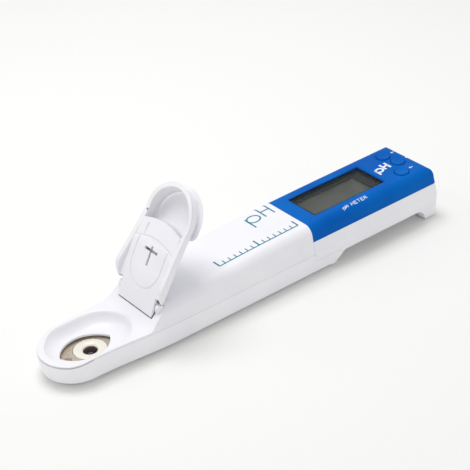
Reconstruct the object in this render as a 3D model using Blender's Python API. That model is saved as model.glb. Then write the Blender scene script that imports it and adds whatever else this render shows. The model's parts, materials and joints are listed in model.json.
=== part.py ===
"""Pocket pH meter with a flat sensor, a hinged light-shield cover and a battery cover.

Sizes are in millimetres. x runs from the sensor tip (0) to the rear end (LENGTH), y across and z up
from the table. add_solid() turns them into metres with the origin under the middle of the meter.
The cover's pieces are drawn closed and are turned open by the empty on their hinge axis.
"""
import bpy
import bmesh
from math import atan, cos, exp, pi, radians, sin, sqrt

MM = 0.001
GAP = 0.3                  # between neighbouring pieces
WALL = 1.2                 # moulded shells

# outside form
LENGTH = 164.0
HALF_WIDTH = 14.5
TIP_RADIUS = 12.3
WIDEN_END = 46.0           # where the plan reaches its full width
REAR_CORNER = 3.0
HINGE_TOP = 15.8           # height of the closed form at the cover's hinge
REAR_HEIGHT = 20.2
RISE = 33.0                # how soon the top flattens behind the hinge
COVER_SLOPE = 0.06         # fall of the closed cover towards the tip
CREASE_TIP = 8.2
CREASE = 9.35              # widest line of the body, also the parting line of the sensor cartridge
RIM_RISE = 0.45            # tray rim above the parting line
EDGE_DROP = 4.0            # height of the rounded upper edge
EDGE_IN = 4.3              # its depth
UNDERCUT_HEIGHT = 2.1
UNDERCUT_IN = 4.0
LOWER_DRAFT = 0.6
ARCH_HEIGHT = 5.3          # underside of the meter behind the cartridge
ARCH_ROUND = 4.2
FOOT_LENGTH = 7.6

# sensor cartridge
CARTRIDGE_LENGTH = 103.6
TONGUE_TOP = 6.3
TONGUE_END = 116.2
KINK_START = 110.8         # where the underside leaves the table
KINK_SLOPE = 0.8
BOWL_START = 2.1
BOWL_END = 33.2
BOWL_HALF_WIDTH = 10.3
BOWL_FLOOR = 5.7
PAN_WALL = 0.6
LEAF_START = 6.5           # leaf-shaped well around the sensor
LEAF_END = 26.0
LEAF_HALF_WIDTH = 6.5
SENSOR_X = 18.0
RING_RADIUS = 5.8
GLASS_RADIUS = 2.4
HOLDER_TOP = 4.1
HOLDER_BOTTOM = 2.1
JUNCTION_X = 9.2
JUNCTION_RADIUS = 1.1
FILM = 0.25
PLUG_HALF_WIDTH = 7.0
PLUG_BOTTOM = 8.7
PLUG_TOP = 10.8
PLUG_START = 92.0
PLUG_REACH = 8.4           # into the meter
TAB_HALF_WIDTH = 6.0
TAB_LENGTH = 11.4
TAB_HINGE_X = 98.0
TAB_GRIP = 0.9
TAB_TURN = 12.0            # degrees that the tab is pressed in

# cover
HINGE_X = 40.0
PIVOT_X = 39.8
PIVOT_Z = 15.3
PIN_RADIUS = 0.55
PIN_CLEARANCE = 0.15
KNUCKLE_RADIUS = 1.25
HEEL_RADIUS = 4.05
LIP_RISE = 0.15            # underside of the lip over the heel, above the pivot
OPEN_ANGLE = 130.0
SHOULDER_X = 34.4          # foot of the slope behind the tray
SHOULDER_SLOPE = 0.9
PLATE_HALF_WIDTH = 9.5
EAR_THICKNESS = 1.6
COVER_SKIN = 1.0
COVER_SIDE = 1.6
COVER_INSET = 0.25
PLATE = 0.8
TONGUE = 0.5
END_ARC_RADIUS = 28.0
WINDOW_START = 4.6
WINDOW_END = 14.2
WINDOW_HALF_WIDTH = 9.6
RIDGE_X = 20.5
SLOT_X = 24.5
CAP_LENGTH = 15.6
CAP_TRAVEL = 6.0
CAP_THICKNESS = 1.2
HEAD_HALF_WIDTH = 3.2
STEM_HALF_WIDTH = 0.5

# meter
CASE_WALL = 1.5
SPLIT_HEIGHT = 13.9        # blue panel above, white case below
DECK_BOTTOM = 11.5
DECK_TOP = 12.2
BAY_FLOOR = 7.4
CELL_RADIUS = 10.0
CELL_HEIGHT = 3.2
CELL_BOTTOM = 7.4
CELL_CLEARANCE = 0.4
COVER_PLATE_TOP = 6.5
COVER_PLATE_HALF_WIDTH = 12.4
RAIL = 0.9
DISPLAY_START = 109.7
DISPLAY_LENGTH = 33.1
DISPLAY_HALF_WIDTH = 7.4
LENS = 1.0
LENS_TOP = 19.35
LCD_TOP = 16.9
LCD_HEIGHT = 1.6
BEZEL_HEIGHT = 0.6
BOARD_BOTTOM = 12.5
BOARD = 1.0
BUTTON_RADIUS = 2.6
BUTTON_FLANGE = 0.5
BUTTON_TRAVEL = 0.4
BUTTON_LIP = 0.5           # flange that holds a button under the panel
BUTTONS = (("left", -9.4, 1), ("middle", -8.0, 0), ("right", -12.2, -1))    # x from the rear end, row across
SCREW_RADIUS = 0.7
SCREW_HEAD_RADIUS = 1.4
BOSS_RADIUS = 1.7
SCREW_INSET = 4.6          # screw centres from the widest line

TIP_STEPS = 10
EDGE_STEPS = 3


def clear_scene():
    for item in list(bpy.data.objects):
        bpy.data.objects.remove(item, do_unlink=True)


# ---------------------------------------------------------------- outside form

def ease(x, start, end):
    t = min(max((x - start) / (end - start), 0.0), 1.0)
    return t * t * (3 - 2 * t)


def half_width(x):
    return TIP_RADIUS + (HALF_WIDTH - TIP_RADIUS) * ease(x, TIP_RADIUS, WIDEN_END)


def top_height(x):
    if x <= HINGE_X:
        return HINGE_TOP - COVER_SLOPE * (HINGE_X - x)
    return REAR_HEIGHT - (REAR_HEIGHT - HINGE_TOP) * exp((HINGE_X - x) / RISE)


def crease(x):
    return CREASE_TIP + (CREASE - CREASE_TIP) * ease(x, 4.0, TIP_RADIUS + 0.7)


def undercut(x):
    """1 under the cartridge, fading out under the meter."""
    return 1 - 0.85 * ease(x, KINK_START, TONGUE_END)


def edge_drop(x):
    return min(EDGE_DROP, 0.6 * (top_height(x) - crease(x)))


def edge_ring(turn, shrink=0.0):
    """Inset and height of the rounded upper edge, where turn goes from 0 (side) to 90 degrees (top)."""
    def inset(x):
        depth = EDGE_IN * edge_drop(x) / EDGE_DROP
        return shrink + depth * (0.25 + 0.75 * (1 - cos(turn)))

    def height(x):
        return top_height(x) - shrink - edge_drop(x) * (1 - sin(turn))
    return inset, height


def edge_turns():
    return [radians(90) * k / EDGE_STEPS for k in range(EDGE_STEPS + 1)]


def side_stations(rear):
    stations = [TIP_RADIUS + 4, 20, 25, 30, 34, 38, HINGE_X + 2, WIDEN_END, WIDEN_END + 7, 62, 74, 88, CARTRIDGE_LENGTH,
                KINK_START - 0.7, TONGUE_END + 0.7, 128, 140]
    stations += [LENGTH - 14, LENGTH - FOOT_LENGTH - 0.5]
    return [x for x in stations if x < rear - REAR_CORNER - 1.0]


def outline(inset, rear=None):
    """Plan points of the +Y half, tip to rear, moved inward by inset(x)."""
    rear = LENGTH if rear is None else rear
    points = []
    for k in range(TIP_STEPS + 1):
        turn = radians(90) * k / TIP_STEPS
        radius = TIP_RADIUS - inset(TIP_RADIUS * (1 - cos(turn)))
        points.append((TIP_RADIUS - radius * cos(turn), radius * sin(turn)))
    points += [(x, half_width(x) - inset(x)) for x in side_stations(rear)]
    depth = inset(rear)
    radius = max(REAR_CORNER - depth, 0.4)
    centre_x = rear - depth - radius
    centre_y = half_width(rear) - depth - radius
    for k in range(4):
        turn = radians(30) * k
        points.append((centre_x + radius * sin(turn), centre_y + radius * cos(turn)))
    return points


def ring_solid(rings):
    """A closed solid through a stack of (inset, height, rear) rings, lowest first."""
    verts, faces = [], []
    count = 0
    for inset, height, rear in rings:
        half = outline(inset, rear)
        ring = half + [(x, -y) for x, y in reversed(half[1:])]
        count = len(ring)
        verts += [(x, y, height(x)) for x, y in ring]
    for level in range(len(rings) - 1):
        low, high = level * count, (level + 1) * count
        for k in range(count):
            n = (k + 1) % count
            faces.append((low + k, low + n, high + n, high + k))
    for base in (0, (len(rings) - 1) * count):
        for k in range(count // 2):
            strip = [base + k, base + k + 1, base + count - k - 1, base + (count - k) % count]
            faces.append(tuple(dict.fromkeys(strip)))
    return verts, faces


def body_form():
    """The whole closed meter: undercut, side walls, crease and rounded upper edge."""
    rings = [(lambda x: UNDERCUT_IN * undercut(x), lambda x: 0.0, None),
             (lambda x: LOWER_DRAFT, lambda x: UNDERCUT_HEIGHT * undercut(x), None),
             (lambda x: 0.0, crease, None)]
    rings += [edge_ring(turn) + (None,) for turn in edge_turns()]
    return ring_solid(rings)


# ---------------------------------------------------------------- simple solids

def prism(profile, start, end, axis):
    """Extrude a closed profile of (x, z) along y, or of (x, y) along z."""
    if axis == "y":
        verts = [(a, side, b) for side in (start, end) for a, b in profile]
    else:
        verts = [(a, b, side) for side in (start, end) for a, b in profile]
    n = len(profile)
    faces = [tuple(range(n)), tuple(range(n, 2 * n))]
    faces += [(k, (k + 1) % n, n + (k + 1) % n, n + k) for k in range(n)]
    return verts, faces


def box(x0, x1, y0, y1, z0, z1):
    return prism([(x0, y0), (x1, y0), (x1, y1), (x0, y1)], z0, z1, "z")


def circle(centre, radius, sides):
    return [(centre[0] + radius * cos(2 * pi * k / sides), centre[1] + radius * sin(2 * pi * k / sides))
            for k in range(sides)]


def stadium(x0, x1, radius, inset=0.0, steps=10):
    """Plan of a slot with round ends; the round ends keep their centres when it is inset."""
    r = radius - inset
    points = [(x1 - radius + r * sin(pi * k / steps), -r * cos(pi * k / steps)) for k in range(steps + 1)]
    points += [(x0 + radius - r * sin(pi * k / steps), r * cos(pi * k / steps)) for k in range(steps + 1)]
    return points


def stack(profiles):
    """A closed solid through plan profiles with equal point counts: [(points, z), ...]."""
    n = len(profiles[0][0])
    verts = [(x, y, z) for points, z in profiles for x, y in points]
    faces = [tuple(range(n)), tuple(range(len(verts) - n, len(verts)))]
    for level in range(len(profiles) - 1):
        a, b = level * n, (level + 1) * n
        faces += [(a + k, a + (k + 1) % n, b + (k + 1) % n, b + k) for k in range(n)]
    return verts, faces


def leaf(x0, x1, half, steps=8):
    """Plan of two arcs that meet in points at x0 and x1."""
    span = (x1 - x0) / 2
    radius = (span * span + half * half) / (2 * half)
    reach = atan(span / (radius - half))
    middle = (x0 + x1) / 2
    turns = [-reach + 2 * reach * k / steps for k in range(steps + 1)]
    upper = [(middle + radius * sin(t), radius * cos(t) - radius + half) for t in turns]
    return upper + [(x, -y) for x, y in reversed(upper[1:-1])]


def section(x, shrink, low):
    """Cross-section of the body form at x, shrunk by a wall, open down to the height low."""
    side = [(half_width(x) - shrink, low), (half_width(x) - shrink, max(crease(x), low + 0.4))]
    for turn in edge_turns():
        inset, height = edge_ring(turn, shrink)
        side.append((half_width(x) - inset(x), height(x)))
    return side + [(-y, z) for y, z in reversed(side)]


def tunnel(x0, x1, shrink, low, steps=6):
    """The inside of the body form between two places along it."""
    n = 0
    verts, faces = [], []
    for k in range(steps + 1):
        x = x0 + (x1 - x0) * k / steps
        points = section(x, shrink, low)
        n = len(points)
        verts += [(x, y, z) for y, z in points]
    for level in range(steps):
        a, b = level * n, (level + 1) * n
        faces += [(a + k, a + (k + 1) % n, b + (k + 1) % n, b + k) for k in range(n)]
    faces += [tuple(range(n)), tuple(range(len(verts) - n, len(verts)))]
    return verts, faces


# ---------------------------------------------------------------- objects

def make_material(name, color, roughness, metallic=0.0, transmission=0.0):
    material = bpy.data.materials.new(name)
    material.use_nodes = True
    shader = material.node_tree.nodes["Principled BSDF"]
    shader.inputs["Base Color"].default_value = (*color, 1.0)
    shader.inputs["Roughness"].default_value = roughness
    shader.inputs["Metallic"].default_value = metallic
    shader.inputs["Transmission Weight"].default_value = transmission
    material.diffuse_color = (*color, 1.0)
    return material


def to_world(point):
    x, y, z = point
    return (x - LENGTH / 2) * MM, y * MM, z * MM


def joint_empty(name, place, turn=0.0, parent=None):
    """An empty on a joint's axis; its pieces are drawn around place before the turn about Y."""
    empty = bpy.data.objects.new(name, None)
    bpy.context.collection.objects.link(empty)
    x, y, z = to_world(place)
    if parent is not None:
        px, py, pz = to_world(parent["place"])
        empty.parent = parent
        x, y, z = x - px, y - py, z - pz
    empty.location = (x, y, z)
    empty.rotation_euler = (0.0, turn, 0.0)
    empty["place"] = place
    return empty


def add_object(name, solid, parent=None):
    verts, faces = solid
    px, py, pz = to_world(parent["place"]) if parent else (0.0, 0.0, 0.0)
    mesh = bpy.data.meshes.new(name)
    points = [to_world(v) for v in verts]
    mesh.from_pydata([(x - px, y - py, z - pz) for x, y, z in points], [], faces)
    work = bmesh.new()
    work.from_mesh(mesh)
    bmesh.ops.recalc_face_normals(work, faces=work.faces)
    work.to_mesh(mesh)
    work.free()
    piece = bpy.data.objects.new(name, mesh)
    bpy.context.collection.objects.link(piece)
    piece.parent = parent
    return piece


def add_solid(name, solid, material, parent=None, smooth=True):
    piece = add_object(name, solid, parent)
    piece.data.materials.append(material)
    if smooth:
        piece.data.shade_smooth()
        piece.data.set_sharp_from_angle(angle=radians(35))
    return piece


def add_cutter(name, solid, parent=None):
    tool = add_object("tool_" + name, solid, parent)
    tool.hide_render = True
    tool.display_type = "WIRE"
    return tool


def combine(piece, operation, *tools):
    for tool in tools:
        step = piece.modifiers.new(operation.lower() + "_" + tool.name, "BOOLEAN")
        step.operation = operation
        step.solver = "EXACT"
        step.object = tool


# ---------------------------------------------------------------- sensor cartridge

def seam_line(offset, end):
    """Points of the cartridge's parting line, tip to end."""
    places = [-2, 0, 3, 5, 7, 9, 11, TIP_RADIUS + 0.7]
    return [(x, crease(x) + offset) for x in places] + [(end, CREASE + offset)]


def kink_height(x):
    return KINK_SLOPE * (x - KINK_START)


def tongue_end(offset):
    """Points down the rear end of the cartridge's tongue, from its top corner to below the table."""
    top = TONGUE_TOP + offset
    slope_start = TONGUE_END - 2.0
    drop = 1.0
    lower = TONGUE_END + offset
    return [(slope_start + offset, top), (lower, top - drop), (lower, kink_height(lower)),
            (KINK_START - 2.5, kink_height(KINK_START - 2.5))]


def shoulder_height(x):
    return CREASE + RIM_RISE + SHOULDER_SLOPE * (x - SHOULDER_X)


def make_cartridge_lower_shell(white, slide):
    rear = CARTRIDGE_LENGTH - GAP / 2
    profile = seam_line(-GAP / 2, rear)
    profile += [(rear, TONGUE_TOP)] + tongue_end(0.0) + [(-2, -2)]
    shell = add_solid("cartridge_lower_shell", body_form(), white, slide)
    combine(shell, "INTERSECT", add_cutter("lower_zone", prism(profile, -30, 30, "y"), slide))
    end = TAB_HINGE_X + TAB_LENGTH + WALL + 1.2
    hollow = ring_solid([(lambda x: WALL + UNDERCUT_IN * 0.8, lambda x: WALL, end),
                         (lambda x: WALL + LOWER_DRAFT, lambda x: WALL + UNDERCUT_HEIGHT, end),
                         (lambda x: WALL, crease, end),
                         (lambda x: WALL, lambda x: CREASE + 3, end)])
    combine(shell, "DIFFERENCE", add_cutter("lower_hollow", hollow, slide))
    slot_top = WALL + TAB_GRIP + TAB_LENGTH * sin(radians(TAB_TURN)) + GAP
    slot = box(TAB_HINGE_X - 0.4, TAB_HINGE_X + TAB_LENGTH + 0.5, -TAB_HALF_WIDTH - 0.4, TAB_HALF_WIDTH + 0.4,
               -1, slot_top)
    combine(shell, "DIFFERENCE", add_cutter("tab_slot", slot, slide))


def make_release_tab(white, hinge):
    x0, x1 = TAB_HINGE_X, TAB_HINGE_X + TAB_LENGTH
    top = WALL + TAB_GRIP
    grip = [(x1 - 3.4, WALL), (x1 - 2.8, top), (x1 - 2.0, top), (x1 - 1.4, WALL)]
    profile = [(x0, 0.0), (x1, 0.0), (x1, WALL)] + grip[::-1] + [(x0, WALL)]
    add_solid("release_tab", prism(profile, -TAB_HALF_WIDTH, TAB_HALF_WIDTH, "y"), white, hinge)


def bowl_profiles(grow):
    """Levels of the tray bowl; grow makes the pan that surrounds it."""
    rim = CREASE + RIM_RISE
    depth = rim - BOWL_FLOOR
    levels = [(0.35, 0.25), (1.1, 0.55), (2.4, 0.8), (4.6, 0.95), (7.2, 1.0)]
    profiles = [(stadium(BOWL_START, BOWL_END, BOWL_HALF_WIDTH, inset - grow), rim - depth * share - grow)
                for inset, share in levels]
    top = (stadium(BOWL_START, BOWL_END, BOWL_HALF_WIDTH, -grow), rim)
    return profiles[::-1] + [top]


def make_cartridge_upper_shell(white, slide):
    rear = CARTRIDGE_LENGTH - GAP / 2
    profile = seam_line(GAP / 2, rear)
    lip_x = PIVOT_X + KNUCKLE_RADIUS + 0.55
    profile += [(rear, 30), (lip_x, 30), (lip_x, PIVOT_Z + 0.4), (PIVOT_X - 0.6, shoulder_height(PIVOT_X - 0.6))]
    profile += [(SHOULDER_X, shoulder_height(SHOULDER_X)), (TIP_RADIUS, CREASE + RIM_RISE)]
    profile += [(x, crease(x) + RIM_RISE) for x in (11, 9, 7, 5, 3, 0, -2)]
    shell = add_solid("cartridge_upper_shell", body_form(), white, slide)
    combine(shell, "INTERSECT", add_cutter("upper_zone", prism(profile, -30, 30, "y"), slide))

    pan = bowl_profiles(PAN_WALL)
    pan[-1] = (pan[-1][0], CREASE + GAP)
    tip_clear = [(x, crease(x) + RIM_RISE) for x in (-2, 0, 3, 5, 7, 9, 11)]
    tip_clear += [(TIP_RADIUS, CREASE + RIM_RISE), (TIP_RADIUS, 30), (-2, 30)]
    combine(shell, "UNION", add_cutter("pan", stack(pan), slide))
    combine(shell, "DIFFERENCE", add_cutter("tip_clear", prism(tip_clear, -30, 30, "y"), slide))
    for side, name in ((-1, "right"), (1, "left")):
        y0 = side * (PLATE_HALF_WIDTH + GAP)
        y1 = side * (PLATE_HALF_WIDTH + GAP + EAR_THICKNESS)
        ear = circle((PIVOT_X, PIVOT_Z), KNUCKLE_RADIUS, 16)
        lug = [p for p in ear if p[1] >= PIVOT_Z - 0.01]
        lug += [(PIVOT_X - KNUCKLE_RADIUS, PIVOT_Z - 2.6), (PIVOT_X + KNUCKLE_RADIUS + 1.6, PIVOT_Z - 2.6),
                (PIVOT_X + KNUCKLE_RADIUS + 1.6, PIVOT_Z - 0.4)]
        combine(shell, "UNION", add_cutter("ear_" + name, prism(lug, min(y0, y1), max(y0, y1), "y"), slide))

    bowl = bowl_profiles(0.0)
    bowl.append((stadium(BOWL_START, BOWL_END, BOWL_HALF_WIDTH, -0.3), CREASE + RIM_RISE + 4))
    combine(shell, "DIFFERENCE", add_cutter("bowl", stack(bowl), slide))
    well = prism(leaf(LEAF_START, LEAF_END, LEAF_HALF_WIDTH), HOLDER_TOP - 1, BOWL_FLOOR + 3, "z")
    combine(shell, "DIFFERENCE", add_cutter("sensor_well", well, slide))

    sweep = HEEL_RADIUS + 0.35
    pocket = [(PIVOT_X + sweep * cos(-pi * k / 16), PIVOT_Z + sweep * sin(-pi * k / 16)) for k in range(17)]
    pocket += [(PIVOT_X - sweep, PIVOT_Z + 3), (lip_x, PIVOT_Z + 3), (lip_x, PIVOT_Z + LIP_RISE),
               (PIVOT_X + sweep, PIVOT_Z + LIP_RISE)]
    reach = PLATE_HALF_WIDTH + GAP
    combine(shell, "DIFFERENCE", add_cutter("heel_pocket", prism(pocket, -reach, reach, "y"), slide))
    bore = circle((PIVOT_X, PIVOT_Z), PIN_RADIUS + PIN_CLEARANCE, 16)
    pin_reach = reach + EAR_THICKNESS - 0.4
    combine(shell, "DIFFERENCE", add_cutter("pin_bore", prism(bore, -pin_reach, pin_reach, "y"), slide))
    hollow = tunnel(PIVOT_X + sweep + WALL, CARTRIDGE_LENGTH + 4, WALL, CREASE - 2)
    combine(shell, "DIFFERENCE", add_cutter("upper_hollow", hollow, slide))


def make_hinge_pin(steel, slide):
    reach = PLATE_HALF_WIDTH + GAP + EAR_THICKNESS - 0.7
    pin = prism(circle((PIVOT_X, PIVOT_Z), PIN_RADIUS, 16), -reach, reach, "y")
    add_solid("hinge_pin", pin, steel, slide)


def make_sensor(mats, slide):
    half = 8.5
    holder = add_solid("sensor_holder", stack([(stadium(4.6, 30, half), HOLDER_BOTTOM),
                                               (stadium(4.6, 30, half), HOLDER_TOP)]), mats["cream"], slide)
    eye = prism(circle((SENSOR_X, 0), RING_RADIUS + GAP, 40), HOLDER_BOTTOM - 1, HOLDER_TOP + 1, "z")
    port = prism(circle((JUNCTION_X, 0), JUNCTION_RADIUS + GAP, 20), HOLDER_BOTTOM - 1, HOLDER_TOP + 1, "z")
    combine(holder, "DIFFERENCE", add_cutter("holder_eye", eye, slide), add_cutter("holder_port", port, slide))

    low, high = HOLDER_BOTTOM + 0.2, HOLDER_TOP - 0.3
    levels = [(RING_RADIUS, low), (RING_RADIUS, high), (RING_RADIUS - 0.5, high + 0.3)]
    ring = add_solid("sensor_ring", stack([(circle((SENSOR_X, 0), r, 40), z) for r, z in levels]),
                     mats["cream"], slide)
    funnel = [(GLASS_RADIUS + GAP, low - 1), (GLASS_RADIUS + GAP, high - 0.3), (GLASS_RADIUS + 1.3, high + 0.6)]
    hole = stack([(circle((SENSOR_X, 0), r, 28), z) for r, z in funnel])
    combine(ring, "DIFFERENCE", add_cutter("ring_hole", hole, slide))

    dome = [(GLASS_RADIUS, low), (GLASS_RADIUS, high - 0.5), (GLASS_RADIUS * 0.8, high - 0.25),
            (GLASS_RADIUS * 0.45, high - 0.12)]
    add_solid("glass_electrode", stack([(circle((SENSOR_X, 0), r, 28), z) for r, z in dome]),
              mats["sensor_glass"], slide)
    plug = [(circle((JUNCTION_X, 0), JUNCTION_RADIUS, 20), z) for z in (HOLDER_BOTTOM + 0.1, HOLDER_TOP + 0.1)]
    add_solid("reference_junction", stack(plug), mats["porous"], slide)


def make_cartridge_inside(mats, slide):
    x0, x1, half, low, high = 46.0, 74.0, 9.0, 1.6, 7.0
    vessel = add_solid("reference_vessel", box(x0, x1, -half, half, low, high), mats["natural"], slide, False)
    room = box(x0 + 1, x1 - 1, 1 - half, half - 1, low + 1, high + 2)
    combine(vessel, "DIFFERENCE", add_cutter("vessel_room", room, slide))
    inner = 1 + GAP
    add_solid("reference_gel", box(x0 + inner, x1 - inner, inner - half, half - inner, low + inner, high - 0.4),
              mats["gel"], slide, False)

    under = 1.5
    strip_z = PLUG_TOP + GAP
    path = [(JUNCTION_X, under), (34.0, under), (40.0, 7.6), (76.0, 7.8), (PLUG_START, strip_z),
            (CARTRIDGE_LENGTH - 0.6, strip_z)]
    profile = path + [(x, z + FILM) for x, z in reversed(path)]
    add_solid("sensor_film", prism(profile, -3.6, 3.6, "y"), mats["film"], slide, False)
    bead = prism(circle((31.6, 0), 0.7, 14), under + 0.6, under + 1.7, "z")
    return bead, strip_z


def make_plug(mats, slide, strip_z):
    end = CARTRIDGE_LENGTH + PLUG_REACH
    plug = [(PLUG_START, PLUG_BOTTOM), (end - 0.8, PLUG_BOTTOM), (end, PLUG_BOTTOM + 0.6), (end, PLUG_TOP),
            (PLUG_START, PLUG_TOP)]
    add_solid("sensor_plug", prism(plug, -PLUG_HALF_WIDTH, PLUG_HALF_WIDTH, "y"), mats["dark"], slide, False)
    strip = box(CARTRIDGE_LENGTH + 2.0, end - 0.4, 0.8 - PLUG_HALF_WIDTH, PLUG_HALF_WIDTH - 0.8, strip_z,
                strip_z + FILM)
    add_solid("contact_strip", strip, mats["gold"], slide, False)
    start = CARTRIDGE_LENGTH + 0.5
    reach, low, high = PLUG_HALF_WIDTH + GAP, PLUG_BOTTOM - GAP, PLUG_TOP + GAP
    gasket = add_solid("plug_gasket", box(start, start + 1.1, -reach - 0.7, reach + 0.7, low - 0.7, high + 0.7),
                       mats["rubber"], slide, False)
    hole = box(start - 1, start + 3, -reach, reach, low, high)
    combine(gasket, "DIFFERENCE", add_cutter("gasket_hole", hole, slide))


# ---------------------------------------------------------------- cover

def make_cover_shell(white, hinge):
    rest = GAP + 0.05
    rim = CREASE + RIM_RISE + rest
    back = PIVOT_X - 0.2
    profile = [(x, crease(x) + RIM_RISE + rest) for x in (-2, 0, 3, 5, 7, 9, 11)]
    profile += [(TIP_RADIUS, rim), (SHOULDER_X - 0.45, rim), (back - 0.35, shoulder_height(back) + 0.05),
                (back, PIVOT_Z + 0.1), (back, 30), (-2, 30)]
    shell = add_solid("cover_shell", body_form(), white, hinge)
    combine(shell, "INTERSECT", add_cutter("cover_zone", prism(profile, -30, 30, "y"), hinge))

    skin_start = WINDOW_END - 0.5
    side = half_width(WINDOW_END) - COVER_INSET - COVER_SIDE
    slope = [(x, top_height(x) - COVER_SKIN) for x in (skin_start, PIVOT_X + 4)]
    hollow = prism([(skin_start, 0), slope[0], slope[1], (PIVOT_X + 4, 0)], -side, side, "y")
    combine(shell, "DIFFERENCE", add_cutter("cover_hollow", hollow, hinge))
    window = prism(stadium(WINDOW_START, WINDOW_END + 12, WINDOW_HALF_WIDTH)[11:], 0, 30, "z")
    combine(shell, "DIFFERENCE", add_cutter("cover_window", window, hinge))
    x0, x1 = SLOT_X - 1.0, SLOT_X + CAP_TRAVEL + 1.0
    slot = box(x0, x1, -STEM_HALF_WIDTH - GAP, STEM_HALF_WIDTH + GAP, 0, 30)
    combine(shell, "DIFFERENCE", add_cutter("cover_slot", slot, hinge))
    notch_x = PIVOT_X - KNUCKLE_RADIUS - 0.5
    notch = box(notch_x, PIVOT_X + 6, -30, 30, 0, 30)
    combine(shell, "DIFFERENCE", add_cutter("ear_notch", notch, hinge))


def arc_places(half):
    return [half * k / 6 for k in range(-6, 7)]


def end_arc(y):
    """How far the arched ends of the cover's inner parts fall back from their middle."""
    return y * y / (2 * END_ARC_RADIUS)


def plate_line():
    """Underside of the cover's inner plate, from its tongue to the heel, in the closed position."""
    heel_turn = radians(-7.9)
    heel = (PIVOT_X + HEEL_RADIUS * cos(heel_turn), PIVOT_Z + HEEL_RADIUS * sin(heel_turn))
    return [(RIDGE_X, 9.95), (SLOT_X, 10.35), (29.7, 11.3), (33.0, 11.75), (36.5, 12.65), heel]


def make_cover_inner_plate(white, hinge):
    line = plate_line()
    heel_x, heel_z = line[-1]
    upper = [(heel_x - 0.1, heel_z + 0.4), (PIVOT_X + 1.5, PIVOT_Z - 0.15)]
    upper += [(PIVOT_X + KNUCKLE_RADIUS * cos(pi * k / 8), PIVOT_Z + KNUCKLE_RADIUS * sin(pi * k / 8))
              for k in range(9)]
    upper += [(PIVOT_X - KNUCKLE_RADIUS - 0.05, PIVOT_Z - 1.15), (36.2, 13.35)]
    upper += [(x, z + PLATE) for x, z in reversed(line[:4])]
    plate = add_solid("cover_inner_plate", prism(line + upper, -PLATE_HALF_WIDTH, PLATE_HALF_WIDTH, "y"),
                      white, hinge)
    bore = circle((PIVOT_X, PIVOT_Z), PIN_RADIUS + PIN_CLEARANCE, 16)
    arms = box(SLOT_X - 0.7, SLOT_X + 0.7, -HEAD_HALF_WIDTH - 0.4, HEAD_HALF_WIDTH + 0.4, 0, 13)
    stem = box(SLOT_X - 1.6, SLOT_X + CAP_TRAVEL - 0.6, -0.7, 0.7, 0, 13)
    arc = [(RIDGE_X + end_arc(y), y) for y in arc_places(PLATE_HALF_WIDTH + 1)]
    arc += [(RIDGE_X - 5, PLATE_HALF_WIDTH + 1), (RIDGE_X - 5, -PLATE_HALF_WIDTH - 1)]
    combine(plate, "DIFFERENCE", add_cutter("plate_bore", prism(bore, -30, 30, "y"), hinge),
            add_cutter("plate_arms", arms, hinge), add_cutter("plate_stem", stem, hinge),
            add_cutter("plate_arc", prism(arc, 0, 30, "z"), hinge))


def make_cover_tongue(white, hinge):
    """The lower step between the plate's ridge and the window."""
    half = PLATE_HALF_WIDTH - 0.6
    line = [(WINDOW_END - 1, 9.85), (RIDGE_X + 3, 10.4)]
    profile = line + [(x, z + TONGUE) for x, z in reversed(line)]
    tongue = add_solid("cover_tongue", prism(profile, -half, half, "y"), white, hinge)
    arc = [(WINDOW_END + end_arc(y), y) for y in arc_places(half)]
    arc += [(RIDGE_X - GAP + end_arc(y), y) for y in reversed(arc_places(half))]
    combine(tongue, "INTERSECT", add_cutter("tongue_plan", prism(arc, 0, 30, "z"), hinge))


def make_slide_cap(white, slide):
    def cap_inset(extra):
        return lambda x: COVER_INSET + extra

    def cap_height(extra):
        return lambda x: top_height(x) + GAP + extra
    end = CAP_LENGTH
    rings = [(cap_inset(1.2), cap_height(0.0), end), (cap_inset(0.2), cap_height(0.15), end),
             (cap_inset(0.3), cap_height(CAP_THICKNESS * 0.55), end),
             (cap_inset(1.2), cap_height(CAP_THICKNESS * 0.9), end),
             (cap_inset(2.8), cap_height(CAP_THICKNESS), end)]
    cap = add_solid("slide_cap", ring_solid(rings), white, slide)
    x1 = SLOT_X + 1.6
    x0 = end - 4.15
    arm = [(x0, top_height(x0) + GAP + 0.23), (x1, top_height(x1) + GAP + 0.2),
           (x1, top_height(x1) + GAP + 0.8), (x0, top_height(x0) + GAP + 0.83)]
    combine(cap, "UNION", add_cutter("cap_arm", prism(arm, -4.2, 4.2, "y"), slide))
    head_low = 12.3
    stem_x = (SLOT_X - 0.5, SLOT_X + 0.5)
    stem = box(*stem_x, -STEM_HALF_WIDTH, STEM_HALF_WIDTH, head_low + 0.3, top_height(SLOT_X) + GAP + 0.4)
    combine(cap, "UNION", add_cutter("cap_stem", stem, slide))
    head = [(stem_x[0] - 0.1, head_low), (stem_x[1] + 0.1, head_low + 0.15), (stem_x[1] + 0.1, head_low + 0.6),
            (stem_x[0] - 0.1, head_low + 0.45)]
    combine(cap, "UNION", add_cutter("cap_head", prism(head, -HEAD_HALF_WIDTH, HEAD_HALF_WIDTH, "y"), slide))
    for k in range(3):
        x = end - 3.25 + 1.35 * k
        rib = box(x, x + 0.6, -5.5, 5.5, top_height(x) + GAP + 0.45, top_height(x) + GAP + CAP_THICKNESS + 0.4)
        combine(cap, "UNION", add_cutter("cap_rib_%d" % (k + 1), rib, slide))


# ---------------------------------------------------------------- meter

def screw_places():
    rear = LENGTH - SCREW_INSET
    front = CARTRIDGE_LENGTH + 3.4
    y = HALF_WIDTH - SCREW_INSET
    return (("front_left", front, y), ("front_right", front, -y), ("rear_left", rear, y), ("rear_right", rear, -y))


def display_end():
    return DISPLAY_START + DISPLAY_LENGTH


def cell_bay():
    """First and last x of the battery bay."""
    length = 4 * (CELL_RADIUS + CELL_CLEARANCE)
    end = LENGTH - CASE_WALL - 1.9
    return end - length, end


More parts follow.
